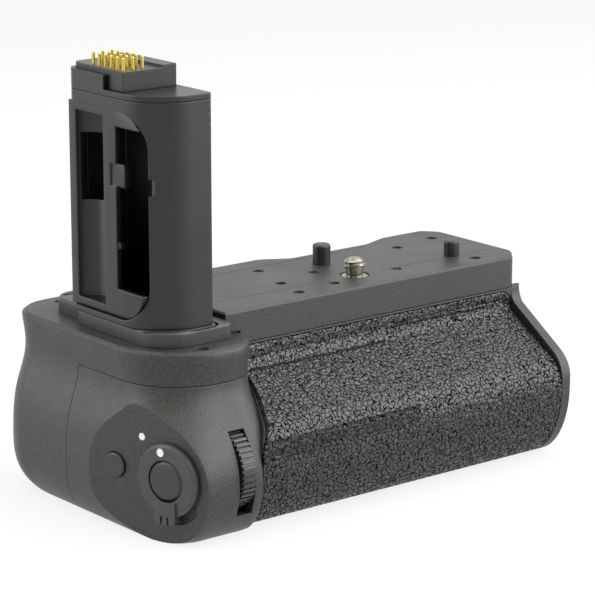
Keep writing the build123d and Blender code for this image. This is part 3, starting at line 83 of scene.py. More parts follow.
# Camera screw: radii, and heights above its lower end
SHAFT_RADIUS = 2.0 * MM
FLANGE_FOOT = 4.8 * MM
FLANGE_TOP = 6.4 * MM
WAIST_RADIUS = 2.25 * MM
COLLAR_RADIUS = 3.8 * MM
COLLAR_FOOT = 8.4 * MM
COLLAR_TOP = 9.0 * MM
NECK_RADIUS = 2.35 * MM
THREAD_RADIUS = 3.175 * MM
THREAD_FOOT = 10.8 * MM

# Its stepped tip: heights below its upper end, and how far each edge lies inside the thread's root
TIP_HEIGHT = 0.7 * MM
TIP_STEP = 0.35 * MM
TIP_INSETS = (-0.1 * MM, 0.3 * MM, 0.6 * MM, 0.8 * MM)
TURNED_SIDES = 48

# Thread ridges, on the screw and in the tripod socket
RIDGE_SHARE = 0.42
RIDGE_ROOT = 0.1 * MM
SOCKET_RADIUS = 3.2 * MM
SOCKET_THREAD_DEPTH = 0.5 * MM
SOCKET_LEAD_IN = 0.4 * MM
SOCKET_RUN_OUT = 0.5 * MM

# Angles over which an edge stays sharp in the shading, and gets a round
SHARP_ANGLE = math.radians(35)
ROUNDED_ANGLE = math.radians(50)


def linear(hex_colour):
    """An sRGB hex value as linear red, green, blue and full alpha."""
    parts = [int(hex_colour[i:i + 2], 16) / 255 for i in (0, 2, 4)]
    return [c / 12.92 if c <= 0.04045 else ((c + 0.055) / 1.055) ** 2.4 for c in parts] + [1.0]


def per_metre(size_mm):
    """A pattern's scale from the real size of one of its grains."""
    return 1000 / size_mm


def add_node(tree, kind, inputs=(), **settings):
    """Add a shader node, set it up, and set or link its inputs."""
    made = tree.nodes.new(kind)
    for name, value in settings.items():
        setattr(made, name, value)
    for socket, value in dict(inputs).items():
        if isinstance(value, bpy.types.NodeSocket):
            tree.links.new(value, made.inputs[socket])
        else:
            made.inputs[socket].default_value = value
    return made


def new_material(name):
    """An empty material with its output and a place on the object."""
    material = bpy.data.materials.new(name)
    material.use_nodes = True
    tree = material.node_tree
    tree.nodes.clear()
    output = add_node(tree, "ShaderNodeOutputMaterial")
    place = add_node(tree, "ShaderNodeTexCoord").outputs["Object"]
    return material, tree, output, place


def finish_material(tree, output, inputs):
    """The surface shader, joined to the output."""
    surface = add_node(tree, "ShaderNodeBsdfPrincipled", inputs)
    tree.links.new(surface.outputs["BSDF"], output.inputs["Surface"])


def soft_edge(tree, radius_mm):
    """The tiny round that a mould leaves on every edge."""
    return add_node(tree, "ShaderNodeBevel", {"Radius": radius_mm * MM}, samples=6).outputs["Normal"]


def plain_view(tree):
    """1 for what the camera sees, straight, mirrored or through glass, and 0 for light."""
    seen = add_node(tree, "ShaderNodeLightPath").outputs
    straight = add_node(
        tree,
        "ShaderNodeMath",
        {0: seen["Is Camera Ray"], 1: seen["Is Glossy Ray"]},
        operation="MAXIMUM",
    ).outputs["Value"]
    return add_node(
        tree,
        "ShaderNodeMath",
        {0: straight, 1: seen["Is Transmission Ray"]},
        operation="MAXIMUM",
    ).outputs["Value"]


# Finishes


def moulded_polycarbonate(name, dark, light, grain_mm, grain_depth, rough, shine):
    """Black glass-filled polycarbonate from a spark-eroded mould: an even fine grain that spreads the
    light, with pale glints on the grain's tops, painted into the colour as a painted highlight."""
    # The real grain is under 0.1 mm wide, and grain_mm draws it coarser, so that it shows
    patch_mm = 14
    material, tree, output, place = new_material(name)
    grain = add_node(
        tree,
        "ShaderNodeTexNoise",
        {"Vector": place, "Scale": per_metre(grain_mm), "Detail": 3.0, "Roughness": 0.7},
    ).outputs["Fac"]
    patch = add_node(
        tree, "ShaderNodeTexNoise", {"Vector": place, "Scale": per_metre(patch_mm), "Detail": 2.0}
    ).outputs["Fac"]
    # Painted highlight: the grain's tops take the paler colour, for the glints on them
    tops = add_node(
        tree,
        "ShaderNodeMapRange",
        {"Value": grain, "From Min": 0.35, "From Max": 0.72, "To Min": 0.0, "To Max": 1.0},
    ).outputs["Result"]
    colour = add_node(
        tree,
        "ShaderNodeMix",
        {"Factor": tops, MIX_LOW: linear(dark), MIX_HIGH: linear(light)},
        data_type="RGBA",
    ).outputs[MIX_RESULT]
    roughness = add_node(
        tree,
        "ShaderNodeMapRange",
        {
            "Value": patch,
            "From Min": 0.3,
            "From Max": 0.7,
            "To Min": rough - 0.04,
            "To Max": rough + 0.04,
        },
    ).outputs["Result"]
    relief = add_node(
        tree,
        "ShaderNodeBump",
        {
            "Height": grain,
            "Strength": 1.0,
            "Distance": grain_depth * MM,
            "Normal": soft_edge(tree, 0.5),
        },
    ).outputs["Normal"]
    finish_material(
        tree,
        output,
        {
            "Base Color": colour,
            "Roughness": roughness,
            "Specular IOR Level": shine,
            "Normal": relief,
        },
    )
    return material


def pebble_cracks(tree, place, pebble):
    """How deep in a line between pebbles a place lies, the same in the mesh and the finish."""
    sway_scale = 0.8 / pebble
    sway_reach = 1.6 * pebble
    sway = add_node(
        tree, "ShaderNodeTexNoise", {"Vector": place, "Scale": sway_scale, "Detail": 1.0}
    ).outputs["Color"]
    shift = add_node(
        tree, "ShaderNodeVectorMath", {0: sway, 1: (sway_reach,) * 3}, operation="MULTIPLY"
    ).outputs["Vector"]
    swayed = add_node(
        tree, "ShaderNodeVectorMath", {0: place, 1: shift}, operation="ADD"
    ).outputs["Vector"]
    edge = add_node(
        tree,
        "ShaderNodeTexVoronoi",
        {"Vector": swayed, "Scale": 1 / pebble},
        feature="DISTANCE_TO_EDGE",
    ).outputs["Distance"]
    return add_node(
        tree,
        "ShaderNodeMapRange",
        {"Value": edge, "From Min": 0.02, "From Max": 0.14, "To Min": 1.0, "To Max": 0.0},
        interpolation_type="SMOOTHSTEP",
    ).outputs["Result"]


def pebbled_rubber(name, dark, light, pebble):
    """Thermoplastic elastomer moulded with a leather grain: dull between the pebbles, with a soft sheen
    on their worn tops, and the lines between the pebbles painted near-black as painted shade."""
    # The skin's own fine pores are under 0.1 mm wide, and are drawn coarser, so that they show
    pore_mm = 0.5
    material, tree, output, place = new_material(name)
    crack = pebble_cracks(tree, place, pebble)
    fine = add_node(
        tree, "ShaderNodeTexNoise", {"Vector": place, "Scale": per_metre(pore_mm), "Detail": 2.0}
    ).outputs["Fac"]
    # Painted shade: the lines between the pebbles take the near-black colour, for the shade that falls
    # in them
    colour = add_node(
        tree,
        "ShaderNodeMix",
        {"Factor": crack, MIX_LOW: linear(light), MIX_HIGH: linear(dark)},
        data_type="RGBA",
    ).outputs[MIX_RESULT]
    roughness = add_node(
        tree,
        "ShaderNodeMapRange",
        {"Value": crack, "From Min": 0.0, "From Max": 1.0, "To Min": 0.34, "To Max": 1.0},
    ).outputs["Result"]
    shine = add_node(
        tree,
        "ShaderNodeMapRange",
        {"Value": crack, "From Min": 0.0, "From Max": 1.0, "To Min": 0.6, "To Max": 0.05},
    ).outputs["Result"]
    sunk = add_node(
        tree,
        "ShaderNodeBump",
        {"Height": crack, "Strength": 0.5, "Distance": 0.2 * MM},
        invert=True,
    ).outputs["Normal"]
    relief = add_node(
        tree,
        "ShaderNodeBump",
        {"Height": fine, "Strength": 0.6, "Distance": 0.05 * MM, "Normal": sunk},
    ).outputs["Normal"]
    finish_material(
        tree,
        output,
        {
            "Base Color": colour,
            "Roughness": roughness,
            "Specular IOR Level": shine,
            "Normal": relief,
        },
    )
    return material


def plain_rubber(name, tone):
    """Smooth moulded silicone, as in a seal: deep black with a broad dull sheen."""
    dull_patch_mm = 0.6
    material, tree, output, place = new_material(name)
    fine = add_node(
        tree,
        "ShaderNodeTexNoise",
        {"Vector": place, "Scale": per_metre(dull_patch_mm), "Detail": 2.0},
    ).outputs["Fac"]
    roughness = add_node(
        tree, "ShaderNodeMapRange", {"Value": fine, "To Min": 0.5, "To Max": 0.7}
    ).outputs["Result"]
    finish_material(
        tree,
        output,
        {"Base Color": linear(tone), "Roughness": roughness, "Normal": soft_edge(tree, 0.2)},
    )
    return material


def polished_abs(name, tone, rough):
    """Black ABS from a polished mould, as on buttons and dials: a clear highlight that fine
    handling marks break up."""
    mark_mm = 1.2
    material, tree, output, place = new_material(name)
    marks = add_node(
        tree, "ShaderNodeTexNoise", {"Vector": place, "Scale": per_metre(mark_mm), "Detail": 5.0}
    ).outputs["Fac"]
    roughness = add_node(
        tree,
        "ShaderNodeMapRange",
        {
            "Value": marks,
            "From Min": 0.3,
            "From Max": 0.7,
            "To Min": rough - 0.06,
            "To Max": rough + 0.08,
        },
    ).outputs["Result"]
    relief = add_node(
        tree,
        "ShaderNodeBump",
        {"Height": marks, "Strength": 0.3, "Distance": 0.02 * MM, "Normal": soft_edge(tree, 0.25)},
    ).outputs["Normal"]
    finish_material(
        tree,
        output,
        {"Base Color": linear(tone), "Roughness": roughness, "Normal": relief, "IOR": 1.54},
    )
    return material


def worked_metal(name, tone, rough, streak_mm, stretch):
    """A turned, rolled or plated metal: its tool marks run one way and pull the highlight
    along them."""
    # Real tool marks are under 0.1 mm apart, and streak_mm draws them coarser, so that they show
    material, tree, output, place = new_material(name)
    along = add_node(
        tree, "ShaderNodeMapping", {"Vector": place, "Scale": stretch}
    ).outputs["Vector"]
    streaks = add_node(
        tree, "ShaderNodeTexNoise", {"Vector": along, "Scale": per_metre(streak_mm), "Detail": 3.0}
    ).outputs["Fac"]
    roughness = add_node(
        tree,
        "ShaderNodeMapRange",
        {"Value": streaks, "To Min": max(rough - 0.1, 0.05), "To Max": rough + 0.12},
    ).outputs["Result"]
    relief = add_node(
        tree,
        "ShaderNodeBump",
        {"Height": streaks, "Strength": 0.4, "Distance": 0.01 * MM, "Normal": soft_edge(tree, 0.1)},
    ).outputs["Normal"]
    finish_material(
        tree,
        output,
        {"Base Color": linear(tone), "Metallic": 1.0, "Roughness": roughness, "Normal": relief},
    )
    return material


def satin_enamel(name, tone):
    """Stoved black enamel over metal: a smooth skin with a faint orange peel."""
    peel_mm = 0.7
    material, tree, output, place = new_material(name)
    peel = add_node(
        tree, "ShaderNodeTexNoise", {"Vector": place, "Scale": per_metre(peel_mm), "Detail": 2.0}
    ).outputs["Fac"]
    roughness = add_node(
        tree, "ShaderNodeMapRange", {"Value": peel, "To Min": 0.28, "To Max": 0.46}
    ).outputs["Result"]
    relief = add_node(
        tree,
        "ShaderNodeBump",
        {"Height": peel, "Strength": 0.35, "Distance": 0.03 * MM, "Normal": soft_edge(tree, 0.3)},
    ).outputs["Normal"]
    finish_material(
        tree,
        output,
        {"Base Color": linear(tone), "Roughness": roughness, "Normal": relief},
    )
    return material


def filled_ink(name, tone):
    """White paint wiped into a moulded dot: flat, with a slightly uneven fill."""
    wipe_mm = 0.4
    material, tree, output, place = new_material(name)
    fill = add_node(
        tree, "ShaderNodeTexNoise", {"Vector": place, "Scale": per_metre(wipe_mm), "Detail": 1.0}
    ).outputs["Fac"]
    roughness = add_node(
        tree, "ShaderNodeMapRange", {"Value": fill, "To Min": 0.45, "To Max": 0.65}
    ).outputs["Result"]
    finish_material(tree, output, {"Base Color": linear(tone), "Roughness": roughness})
    return material


def board_laminate(name, mask, weave):
    """Glass-fibre board under green solder mask: the weave shows faintly through a glossy coat."""
    thread_mm = 0.5
    material, tree, output, place = new_material(name)
    threads = add_node(
        tree, "ShaderNodeTexNoise", {"Vector": place, "Scale": per_metre(thread_mm), "Detail": 1.0}
    ).outputs["Fac"]
    colour = add_node(
        tree,
        "ShaderNodeMix",
        {"Factor": threads, MIX_LOW: linear(mask), MIX_HIGH: linear(weave)},
        data_type="RGBA",
    ).outputs[MIX_RESULT]
    finish_material(tree, output, {"Base Color": colour, "Roughness": 0.3, "IOR": 1.55})
    return material


# Which node wears which finish
FINISHES = {
    "body": "top_cover front_cover rear_cover end_cover shutter_housing tray_door",
    "flange": "plug_base",
    "plug": "plug_shell plug_frame plug_cap contact_block",
    "seal": "plug_seal",
    "button": "release_button function_button focus_button info_button selector_stick tray_latch",
    "dial": "front_dial rear_dial mount_wheel",
    "ring": "lock_ring",
    "ink": "ring_dot body_dot",
    "gold": "contact_pins bay_contacts",
    "nickel": "tripod_socket screw_gear camera_screw",
    "steel": (
        "front_dial_axle rear_dial_axle wheel_axle front_dial_bracket rear_dial_bracket"
        " mount_chassis ring_clip"
    ),
    "black_steel": "left_locating_pin right_locating_pin",
    "screws": "deck_screws shoulder_screws bottom_screws",
    "board": "control_board rear_board plug_board",
    "inner": "battery_tray bay_liner key_switches selector_gimbal selector_base",
}


def wear(piece, material):
    """Put one material on a piece."""
    piece.data.materials.clear()
    piece.data.materials.append(material)


def select_only(piece):
    """Nothing else stays selected, and the piece is active."""
    bpy.ops.object.select_all(action="DESELECT")
    piece.select_set(True)
    bpy.context.view_layer.objects.active = piece


def settle(piece):
    """Leave a finished piece at the origin with its place in its mesh."""
    select_only(piece)
    bpy.ops.object.transform_apply(location=True, rotation=True, scale=True)


def apply_modifiers(piece):
    """Bake every modifier into the mesh."""
    select_only(piece)
    for modifier in list(piece.modifiers):
        bpy.ops.object.modifier_apply(modifier=modifier.name)


def merged_copy(node, name):
    """A loose copy of a CAD node with its triangles joined, for an operator to shape."""
    select_only(nodes[node])
    bpy.ops.object.duplicate()
    piece = bpy.context.object
    piece.name = name
    piece.parent = None
    for key in list(piece.keys()):
        del piece[key]
    bpy.ops.object.mode_set(mode="EDIT")
    bpy.ops.mesh.select_all(action="SELECT")
    bpy.ops.mesh.remove_doubles(threshold=WELD)
    bpy.ops.object.mode_set(mode="OBJECT")
    return piece


class GripSizes(bpy.types.PropertyGroup):
    """Sizes of the pieces that the scene adds."""

    pebble: FloatProperty(
        name="Pebble",
        description="Distance between neighbouring pebbles of the rubber",
        default=1.3 * MM,
        subtype="DISTANCE",
        unit="LENGTH",
    )
    crack_depth: FloatProperty(
        name="Crack depth",
        description="How deep the lines between the pebbles go",
        default=0.28 * MM,
        subtype="DISTANCE",
        unit="LENGTH",
    )
    skin_mesh: FloatProperty(
        name="Skin mesh",
        description="Edge length of the rubber's mesh",
        default=0.36 * MM,
        subtype="DISTANCE",
        unit="LENGTH",
    )
    skin_kept: FloatProperty(
        name="Skin kept",
        description="Share of the rubber's faces that is left once its hidden side is thinned",
        default=0.6,
    )
    panel_inset: FloatProperty(
        name="Panel inset",
        description="How far the plug's inner panel lies below its left face",
        default=0.9 * MM,
        subtype="DISTANCE",
        unit="LENGTH",
    )
    panel_round: FloatProperty(
        name="Panel round",
        description="Radius of the inner panel's edges",
        default=0.25 * MM,
        subtype="DISTANCE",
        unit="LENGTH",
    )
    thread_pitch: FloatProperty(
        name="Thread pitch",
        description="Rise of the tripod thread in one turn, 20 turns to the inch",
        default=1.27 * MM,
        subtype="DISTANCE",
        unit="LENGTH",
    )
    thread_depth: FloatProperty(
        name="Thread depth",
        description="Height of the tripod thread from root to crest",
        default=0.62 * MM,
        subtype="DISTANCE",
        unit="LENGTH",
    )
    thread_steps: IntProperty(
        name="Thread steps",
        description="Segments in one turn of the thread",
        default=48,
    )


class GripColours(bpy.types.PropertyGroup):
    """Colours of the main finishes, as sRGB hex values, and of the floor."""

    body: StringProperty(
        name="Body",
        description="Moulded covers, in the hollows of their grain",
        default="1c1d19",
    )
    # Painted highlight: this paler colour on the grain's tops stands in for the glints there
    body_grain_glint: StringProperty(
        name="Body grain",
        description="Moulded covers, on the tops of their grain",
        default="3c3d38",
    )
    rubber: StringProperty(
        name="Rubber",
        description="Rubber skin, on the pebbles",
        default="282a25",
    )
    # Painted shade: this near-black in the lines between the pebbles stands in for the shade in them
    rubber_crack_shade: StringProperty(
        name="Rubber cracks",
        description="Rubber skin, in the lines between the pebbles",
        default="060706",
    )
    buttons: StringProperty(
        name="Buttons",
        description="Buttons and dials",
        default="232422",
    )
    lock_ring: StringProperty(
        name="Lock ring",
        description="Enamelled ring around the release button",
        default="363733",
    )
    contacts: StringProperty(
        name="Contacts",
        description="Plated contact pins",
        default="cbb55a",
    )
    floor: FloatVectorProperty(
        name="Floor",
        description="Colour of the floor",
        default=(0.9, 0.9, 0.9),
        subtype="COLOR",
        size=3,
    )


class GRIP_OT_finishes(bpy.types.Operator):
    """Give every carried-over piece its finish"""

    bl_idname = "grip.finishes"
    bl_label = "Finishes"

    def execute(self, context):
        colours = context.scene.grip_colours
        made = {
            "body": moulded_polycarbonate(
                "moulded_polycarbonate",
                colours.body,
                colours.body_grain_glint,
                grain_mm=0.6,
                grain_depth=0.09,
                rough=0.42,
                shine=0.45,
            ),
            "flange": moulded_polycarbonate(
                "smooth_polycarbonate",
                "22231f",
                "3a3b37",
                grain_mm=0.35,
                grain_depth=0.02,
                rough=0.34,
                shine=0.5,
            ),
            "plug": moulded_polycarbonate(
                "satin_polycarbonate",
                "101110",
                "1f201d",
                grain_mm=0.35,
                grain_depth=0.02,
                rough=0.34,
                shine=0.45,
            ),
            "seal": plain_rubber("silicone_seal", "111211"),
            "button": polished_abs("polished_abs", colours.buttons, rough=0.34),
            "dial": polished_abs("ribbed_abs", colours.buttons, rough=0.3),
            "ring": satin_enamel("black_enamel", colours.lock_ring),
            "ink": filled_ink("white_ink", "e6e6e2"),
            "gold": worked_metal(
                "gold_plate", colours.contacts, rough=0.18, streak_mm=0.3, stretch=(1, 1, 0.2)
            ),
            "nickel": worked_metal(
                "nickel_plate", "8f8b7c", rough=0.24, streak_mm=0.25, stretch=(0.05, 0.05, 1)
            ),
            "steel": worked_metal(
                "rolled_steel", "8e9091", rough=0.35, streak_mm=0.3, stretch=(0.1, 1, 1)
            ),
            "black_steel": satin_enamel("blackened_steel", "141413"),
            "screws": worked_metal(
                "oxided_steel", "55554f", rough=0.3, streak_mm=0.2, stretch=(1, 1, 0.3)
            ),
            "board": board_laminate("solder_mask", "0f3d26", "1d5a3a"),
            "inner": moulded_polycarbonate(
                "filled_nylon",
                "1b1c1b",
                "2a2b2a",
                grain_mm=0.6,
                grain_depth=0.03,
                rough=0.6,
                shine=0.3,
            ),
        }
        for finish, names in FINISHES.items():
            for name in names.split():
                wear(nodes[name], made[finish])
        return {"FINISHED"}


class GRIP_OT_rubber(bpy.types.Operator):
    """Make the pebbled rubber skin over the front of the grip"""

    bl_idname = "grip.rubber"
    bl_label = "Rubber skin"

    def execute(self, context):
        sizes = context.scene.grip_sizes
        colours = context.scene.grip_colours
        skin = merged_copy("grip_rubber", "pebbled_skin")
        skin.data.remesh_voxel_size = sizes.skin_mesh
        skin.data.use_remesh_fix_poles = False
        bpy.ops.object.voxel_remesh()
        self.mark_hidden_side(skin)
        self.press_cracks(skin, sizes)
        self.thin_hidden_side(skin, sizes)
        bpy.ops.object.shade_smooth()
        wear(
            skin,
            pebbled_rubber("pebbled_elastomer", colours.rubber_crack_shade, colours.rubber, sizes.pebble),
        )
        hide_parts("grip_rubber")
        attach(skin, "grip")
        return {"FINISHED"}

    def mark_hidden_side(self, skin):
        """The side that lies on the cover faces the middle of the grip."""
        low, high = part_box("grip_rubber")
        core = Vector((0, high.y, (low.z + high.z) / 2))
        facing = 0.2
        hidden = skin.vertex_groups.new(name="hidden")
        inward = []
        for vertex in skin.data.vertices:
            outward = Vector((0, vertex.co.y - core.y, vertex.co.z - core.z)).normalized()
            if vertex.normal.dot(outward) < facing:
                inward.append(vertex.index)
        hidden.add(inward, 1.0, "REPLACE")

    def press_cracks(self, skin, sizes):
        """Sink the lines between the pebbles into the outer side."""
        group = bpy.data.node_groups.new("pebbles", "GeometryNodeTree")
        for way in ("INPUT", "OUTPUT"):
            group.interface.new_socket("Geometry", in_out=way, socket_type="NodeSocketGeometry")
        before = add_node(group, "NodeGroupInput").outputs[0]
        place = add_node(group, "GeometryNodeInputPosition").outputs["Position"]
        normal = add_node(group, "GeometryNodeInputNormal").outputs["Normal"]
        hidden = add_node(
            group, "GeometryNodeInputNamedAttribute", {"Name": "hidden"}
        ).outputs["Attribute"]
        crack = pebble_cracks(group, place, sizes.pebble)
        shown = add_node(group, "ShaderNodeMath", {0: 1.0, 1: hidden}, operation="SUBTRACT").outputs[0]
        share = add_node(group, "ShaderNodeMath", {0: crack, 1: shown}, operation="MULTIPLY").outputs[0]
        depth = add_node(
            group, "ShaderNodeMath", {0: share, 1: -sizes.crack_depth}, operation="MULTIPLY"
        ).outputs[0]
        sink = add_node(
            group, "ShaderNodeVectorMath", {0: normal, "Scale": depth}, operation="SCALE"
        ).outputs["Vector"]
        after = add_node(group, "GeometryNodeSetPosition", {"Geometry": before, "Offset": sink})
        add_node(group, "NodeGroupOutput", {0: after.outputs["Geometry"]})
        skin.modifiers.new("pebbles", "NODES").node_group = group
        apply_modifiers(skin)

    def thin_hidden_side(self, skin, sizes):
        """The side that lies on the cover needs few faces."""
        thin = skin.modifiers.new("thin", "DECIMATE")
        thin.ratio = sizes.skin_kept
        thin.vertex_group = "hidden"
        thin.vertex_group_factor = 10.0
        apply_modifiers(skin)


class GRIP_OT_trough(bpy.types.Operator):
    """Trim the plug's trough flush with the panel it opens in"""

    bl_idname = "grip.trough"
    bl_label = "Plug trough"

    def execute(self, context):
        sizes = context.scene.grip_sizes
        overrun = 4 * MM
        low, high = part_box("plug_frame")
        panel = merged_copy("plug_frame", "plug_inner_panel")
        bpy.ops.object.select_all(action="DESELECT")
        middle = (low + high) / 2
        bpy.ops.mesh.primitive_cube_add(size=1, location=(low.x, middle.y, middle.z))
        cutter = context.object
        cutter.scale = (2 * sizes.panel_inset, high.y - low.y + overrun, high.z - low.z + overrun)
        settle(cutter)
        trim = panel.modifiers.new("trim", "BOOLEAN")
        trim.object = cutter
        trim.solver = "EXACT"
        apply_modifiers(panel)
        bpy.data.objects.remove(cutter)
        round_off = panel.modifiers.new("round_off", "BEVEL")
        round_off.width = sizes.panel_round
        round_off.segments = 3
        round_off.limit_method = "ANGLE"
        round_off.angle_limit = ROUNDED_ANGLE
        apply_modifiers(panel)
        bpy.ops.object.shade_smooth_by_angle(angle=SHARP_ANGLE)
        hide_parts("plug_frame")
        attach(panel, "grip")
        return {"FINISHED"}


class GRIP_OT_threads(bpy.types.Operator):
    """Make the camera screw with its thread, and the thread in the tripod socket"""

    bl_idname = "grip.threads"
    bl_label = "Threads"

    def execute(self, context):
        sizes = context.scene.grip_sizes
        low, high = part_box("camera_screw")
        root = THREAD_RADIUS - sizes.thread_depth
        coil = self.coil("thread", root, sizes.thread_depth, low.z + THREAD_FOOT, high.z, sizes)
        core = self.core(root, low, high)
        select_only(core)
        coil.select_set(True)
        bpy.ops.object.join()
        core.name = "threaded_camera_screw"
        wear(core, nodes["tripod_socket"].data.materials[0])
        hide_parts("camera_screw")
        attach(core, "camera_screw")
        mouth, closed_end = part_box("tripod_socket")
        inner = self.coil(
            "socket_thread",
            SOCKET_RADIUS,
            -SOCKET_THREAD_DEPTH,
            mouth.z + SOCKET_LEAD_IN,
            closed_end.z - SOCKET_RUN_OUT,
            sizes,
        )
        wear(inner, nodes["tripod_socket"].data.materials[0])
        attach(inner, "grip")
        return {"FINISHED"}

    def coil(self, name, root, depth, low, high, sizes):
        """A thread's ridge: a small triangle wound up the root cylinder."""
        bpy.ops.object.select_all(action="DESELECT")
        bpy.ops.mesh.primitive_circle_add(vertices=3, radius=1, fill_type="NOTHING")
        ridge = bpy.context.object
        ridge.name = name
        half = sizes.thread_pitch * RIDGE_SHARE
        start = low + half
        inner = root - RIDGE_ROOT if depth > 0 else root + RIDGE_ROOT
        corners = [(inner, start - half), (root + depth, start), (inner, start + half)]
        if depth < 0:
            corners.reverse()
        for vertex, (x, z) in zip(ridge.data.vertices, corners):
            vertex.co = Vector((x, 0, z))
        turns = (high - low - 2 * half) / sizes.thread_pitch
        winding = ridge.modifiers.new("winding", "SCREW")
        winding.axis = "Z"
        winding.angle = 2 * math.pi * turns
        winding.screw_offset = sizes.thread_pitch * turns
        winding.steps = int(sizes.thread_steps * turns)
        winding.render_steps = winding.steps
        winding.use_smooth_shade = False
        apply_modifiers(ridge)
        bpy.ops.object.mode_set(mode="EDIT")
        bpy.ops.mesh.select_all(action="SELECT")
        bpy.ops.mesh.remove_doubles(threshold=THREAD_WELD)
        bpy.ops.mesh.select_all(action="DESELECT")
        bpy.ops.mesh.select_non_manifold()
        bpy.ops.mesh.edge_face_add()
        bpy.ops.mesh.select_all(action="SELECT")
        bpy.ops.mesh.normals_make_consistent(inside=False)
        bpy.ops.object.mode_set(mode="OBJECT")
        bpy.ops.object.shade_smooth_by_angle(angle=SHARP_ANGLE)
        return ridge

    def core(self, root, low, high):
        """The screw's turned core: shaft, flange, collar, neck and stepped tip."""
        flange = high.x
        length = high.z - low.z
        foot, edge, step, crown = (root - inset for inset in TIP_INSETS)
        profile = [
            (SHAFT_RADIUS, 0),
            (SHAFT_RADIUS, FLANGE_FOOT),
            (flange, FLANGE_FOOT),
            (flange, FLANGE_TOP),
            (WAIST_RADIUS, FLANGE_TOP),
            (WAIST_RADIUS, COLLAR_FOOT),
            (COLLAR_RADIUS, COLLAR_FOOT),
            (COLLAR_RADIUS, COLLAR_TOP),
            (NECK_RADIUS, COLLAR_TOP),
            (NECK_RADIUS, THREAD_FOOT),
            (foot, THREAD_FOOT),
            (foot, length - TIP_HEIGHT),
            (edge, length - TIP_STEP),
            (step, length - TIP_STEP),
            (crown, length),
        ]
        bpy.ops.object.select_all(action="DESELECT")
        bpy.ops.mesh.primitive_circle_add(
            vertices=TURNED_SIDES, radius=SHAFT_RADIUS, fill_type="NGON", location=(0, 0, low.z)
        )
        core = bpy.context.object
        settle(core)
        bpy.ops.object.mode_set(mode="EDIT")
        bpy.ops.mesh.select_all(action="SELECT")
        for (r0, z0), (r1, z1) in zip(profile, profile[1:]):
            bpy.ops.mesh.extrude_region_move(TRANSFORM_OT_translate={"value": (0, 0, z1 - z0)})
            if r1 != r0:
                bpy.ops.transform.resize(
                    value=(r1 / r0, r1 / r0, 1), center_override=(0, 0, low.z + z1)
                )
        bpy.ops.mesh.select_all(action="SELECT")
        bpy.ops.mesh.normals_make_consistent(inside=False)
        bpy.ops.object.mode_set(mode="OBJECT")
        bpy.ops.object.shade_smooth_by_angle(angle=SHARP_ANGLE)
        return core


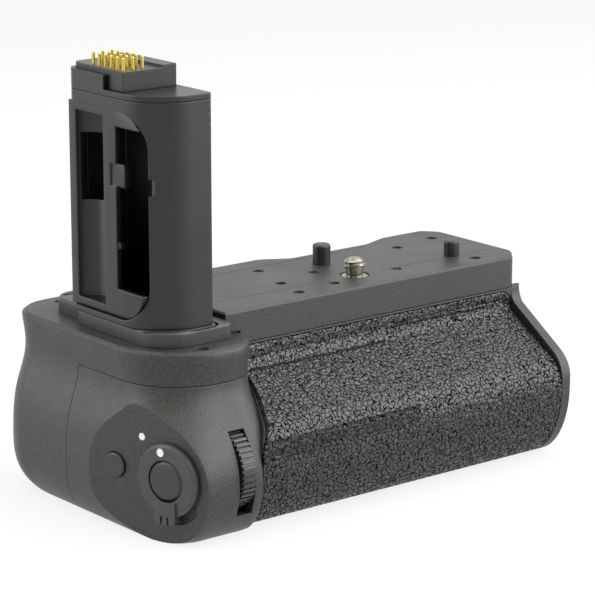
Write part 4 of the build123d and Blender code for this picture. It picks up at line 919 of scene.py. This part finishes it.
class GRIP_OT_stage(bpy.types.Operator):
    """Set the pale floor, the soft lights and the camera"""

    bl_idname = "grip.stage"
    bl_label = "Stage"

    def execute(self, context):
        self.floor(context)
        self.world(context)
        self.lights()
        self.camera(context)
        context.scene.view_settings.view_transform = "Standard"
        return {"FINISHED"}

    def floor(self, context):
        """A wide pale floor that looks white and keeps the soft shadow."""
        width = 6000 * MM
        gap = 0.02 * MM
        glow_share = 0.82
        bpy.ops.object.select_all(action="DESELECT")
        bpy.ops.mesh.primitive_plane_add(size=width, location=(0, 0, CAD_BOX[0].z - gap))
        floor = context.object
        floor.name = "floor"
        material, tree, output, _ = new_material("studio_paper")
        paper = add_node(
            tree,
            "ShaderNodeBsdfPrincipled",
            {"Base Color": (*context.scene.grip_colours.floor, 1), "Roughness": 0.9},
        ).outputs["BSDF"]
        white = add_node(tree, "ShaderNodeEmission", {"Strength": 1.0}).outputs["Emission"]
        glow = add_node(
            tree, "ShaderNodeMath", {0: plain_view(tree), 1: glow_share}, operation="MULTIPLY"
        ).outputs["Value"]
        mixed = add_node(tree, "ShaderNodeMixShader", {0: glow, 1: paper, 2: white}).outputs["Shader"]
        tree.links.new(mixed, output.inputs["Surface"])
        wear(floor, material)

    def world(self, context):
        """White to the camera and in reflections, a soft grey sky to the object."""
        world = bpy.data.worlds.new("studio")
        world.use_nodes = True
        context.scene.world = world
        tree = world.node_tree
        tree.nodes.clear()
        sky = add_node(tree, "ShaderNodeBackground", {"Color": (1, 1, 1, 1), "Strength": 0.2})
        white = add_node(tree, "ShaderNodeBackground", {"Color": (1, 1, 1, 1), "Strength": 1.0})
        mixed = add_node(
            tree,
            "ShaderNodeMixShader",
            {0: plain_view(tree), 1: sky.outputs["Background"], 2: white.outputs["Background"]},
        )
        output = add_node(tree, "ShaderNodeOutputWorld")
        tree.links.new(mixed.outputs["Shader"], output.inputs["Surface"])

    def lights(self):
        """A softbox above, one behind the left end and a large one at the front right."""
        middle = (CAD_BOX[0] + CAD_BOX[1]) / 2
        for name, place, size, watts in [
            ("softbox_top", Vector((0.0, 0.1, 0.75)), 1.0, 4.6),
            ("softbox_left", Vector((-0.7, 0.4, 0.3)), 0.7, 4.6),
            ("softbox_front", Vector((0.6, -0.65, 0.5)), 1.5, 23.0),
        ]:
            bpy.ops.object.light_add(type="AREA", location=middle + place)
            lamp = bpy.context.object
            lamp.name = name
            lamp.data.size = size
            lamp.data.energy = watts
            lamp.rotation_euler = (-place).to_track_quat("-Z", "Y").to_euler()

    def camera(self, context):
        """The photograph's viewpoint, seen through a long lens."""
        place = Vector((-481.9, -574.7, 241.9)) * MM
        turn = math.radians(38.74)
        tilt = math.radians(14.34)
        ahead = Vector(
            (math.sin(turn) * math.cos(tilt), math.cos(turn) * math.cos(tilt), -math.sin(tilt))
        )
        focal_pixels = 2708.5
        frame_pixels = 595
        bpy.ops.object.camera_add(location=place)
        camera = context.object
        camera.name = "camera"
        camera.rotation_euler = ahead.to_track_quat("-Z", "Y").to_euler()
        camera.data.sensor_width = 36
        camera.data.lens = focal_pixels / frame_pixels * camera.data.sensor_width
        camera.data.clip_start = 0.01
        context.scene.camera = camera


class GRIP_PT_panel(bpy.types.Panel):
    """The grip's steps, in order"""

    bl_label = "Battery Grip"
    bl_idname = "GRIP_PT_panel"
    bl_space_type = "VIEW_3D"
    bl_region_type = "UI"
    bl_category = "Battery Grip"

    def draw(self, context):
        for prop in GripSizes.__annotations__:
            self.layout.prop(context.scene.grip_sizes, prop)
        for prop in GripColours.__annotations__:
            self.layout.prop(context.scene.grip_colours, prop)
        for step in STEPS:
            self.layout.operator(step.bl_idname)


STEPS = (GRIP_OT_finishes, GRIP_OT_rubber, GRIP_OT_trough, GRIP_OT_threads, GRIP_OT_stage)
CLASSES = (GripSizes, GripColours, *STEPS, GRIP_PT_panel)


def register():
    for cls in CLASSES:
        bpy.utils.register_class(cls)
    bpy.types.Scene.grip_sizes = PointerProperty(type=GripSizes)
    bpy.types.Scene.grip_colours = PointerProperty(type=GripColours)


def unregister():
    del bpy.types.Scene.grip_colours
    del bpy.types.Scene.grip_sizes
    for cls in reversed(CLASSES):
        bpy.utils.unregister_class(cls)


def main():
    """Register the add-on and run its steps."""
    register()
    bpy.ops.grip.finishes()
    bpy.ops.grip.rubber()
    bpy.ops.grip.trough()
    bpy.ops.grip.threads()
    bpy.ops.grip.stage()


if __name__ == "__main__":
    main()
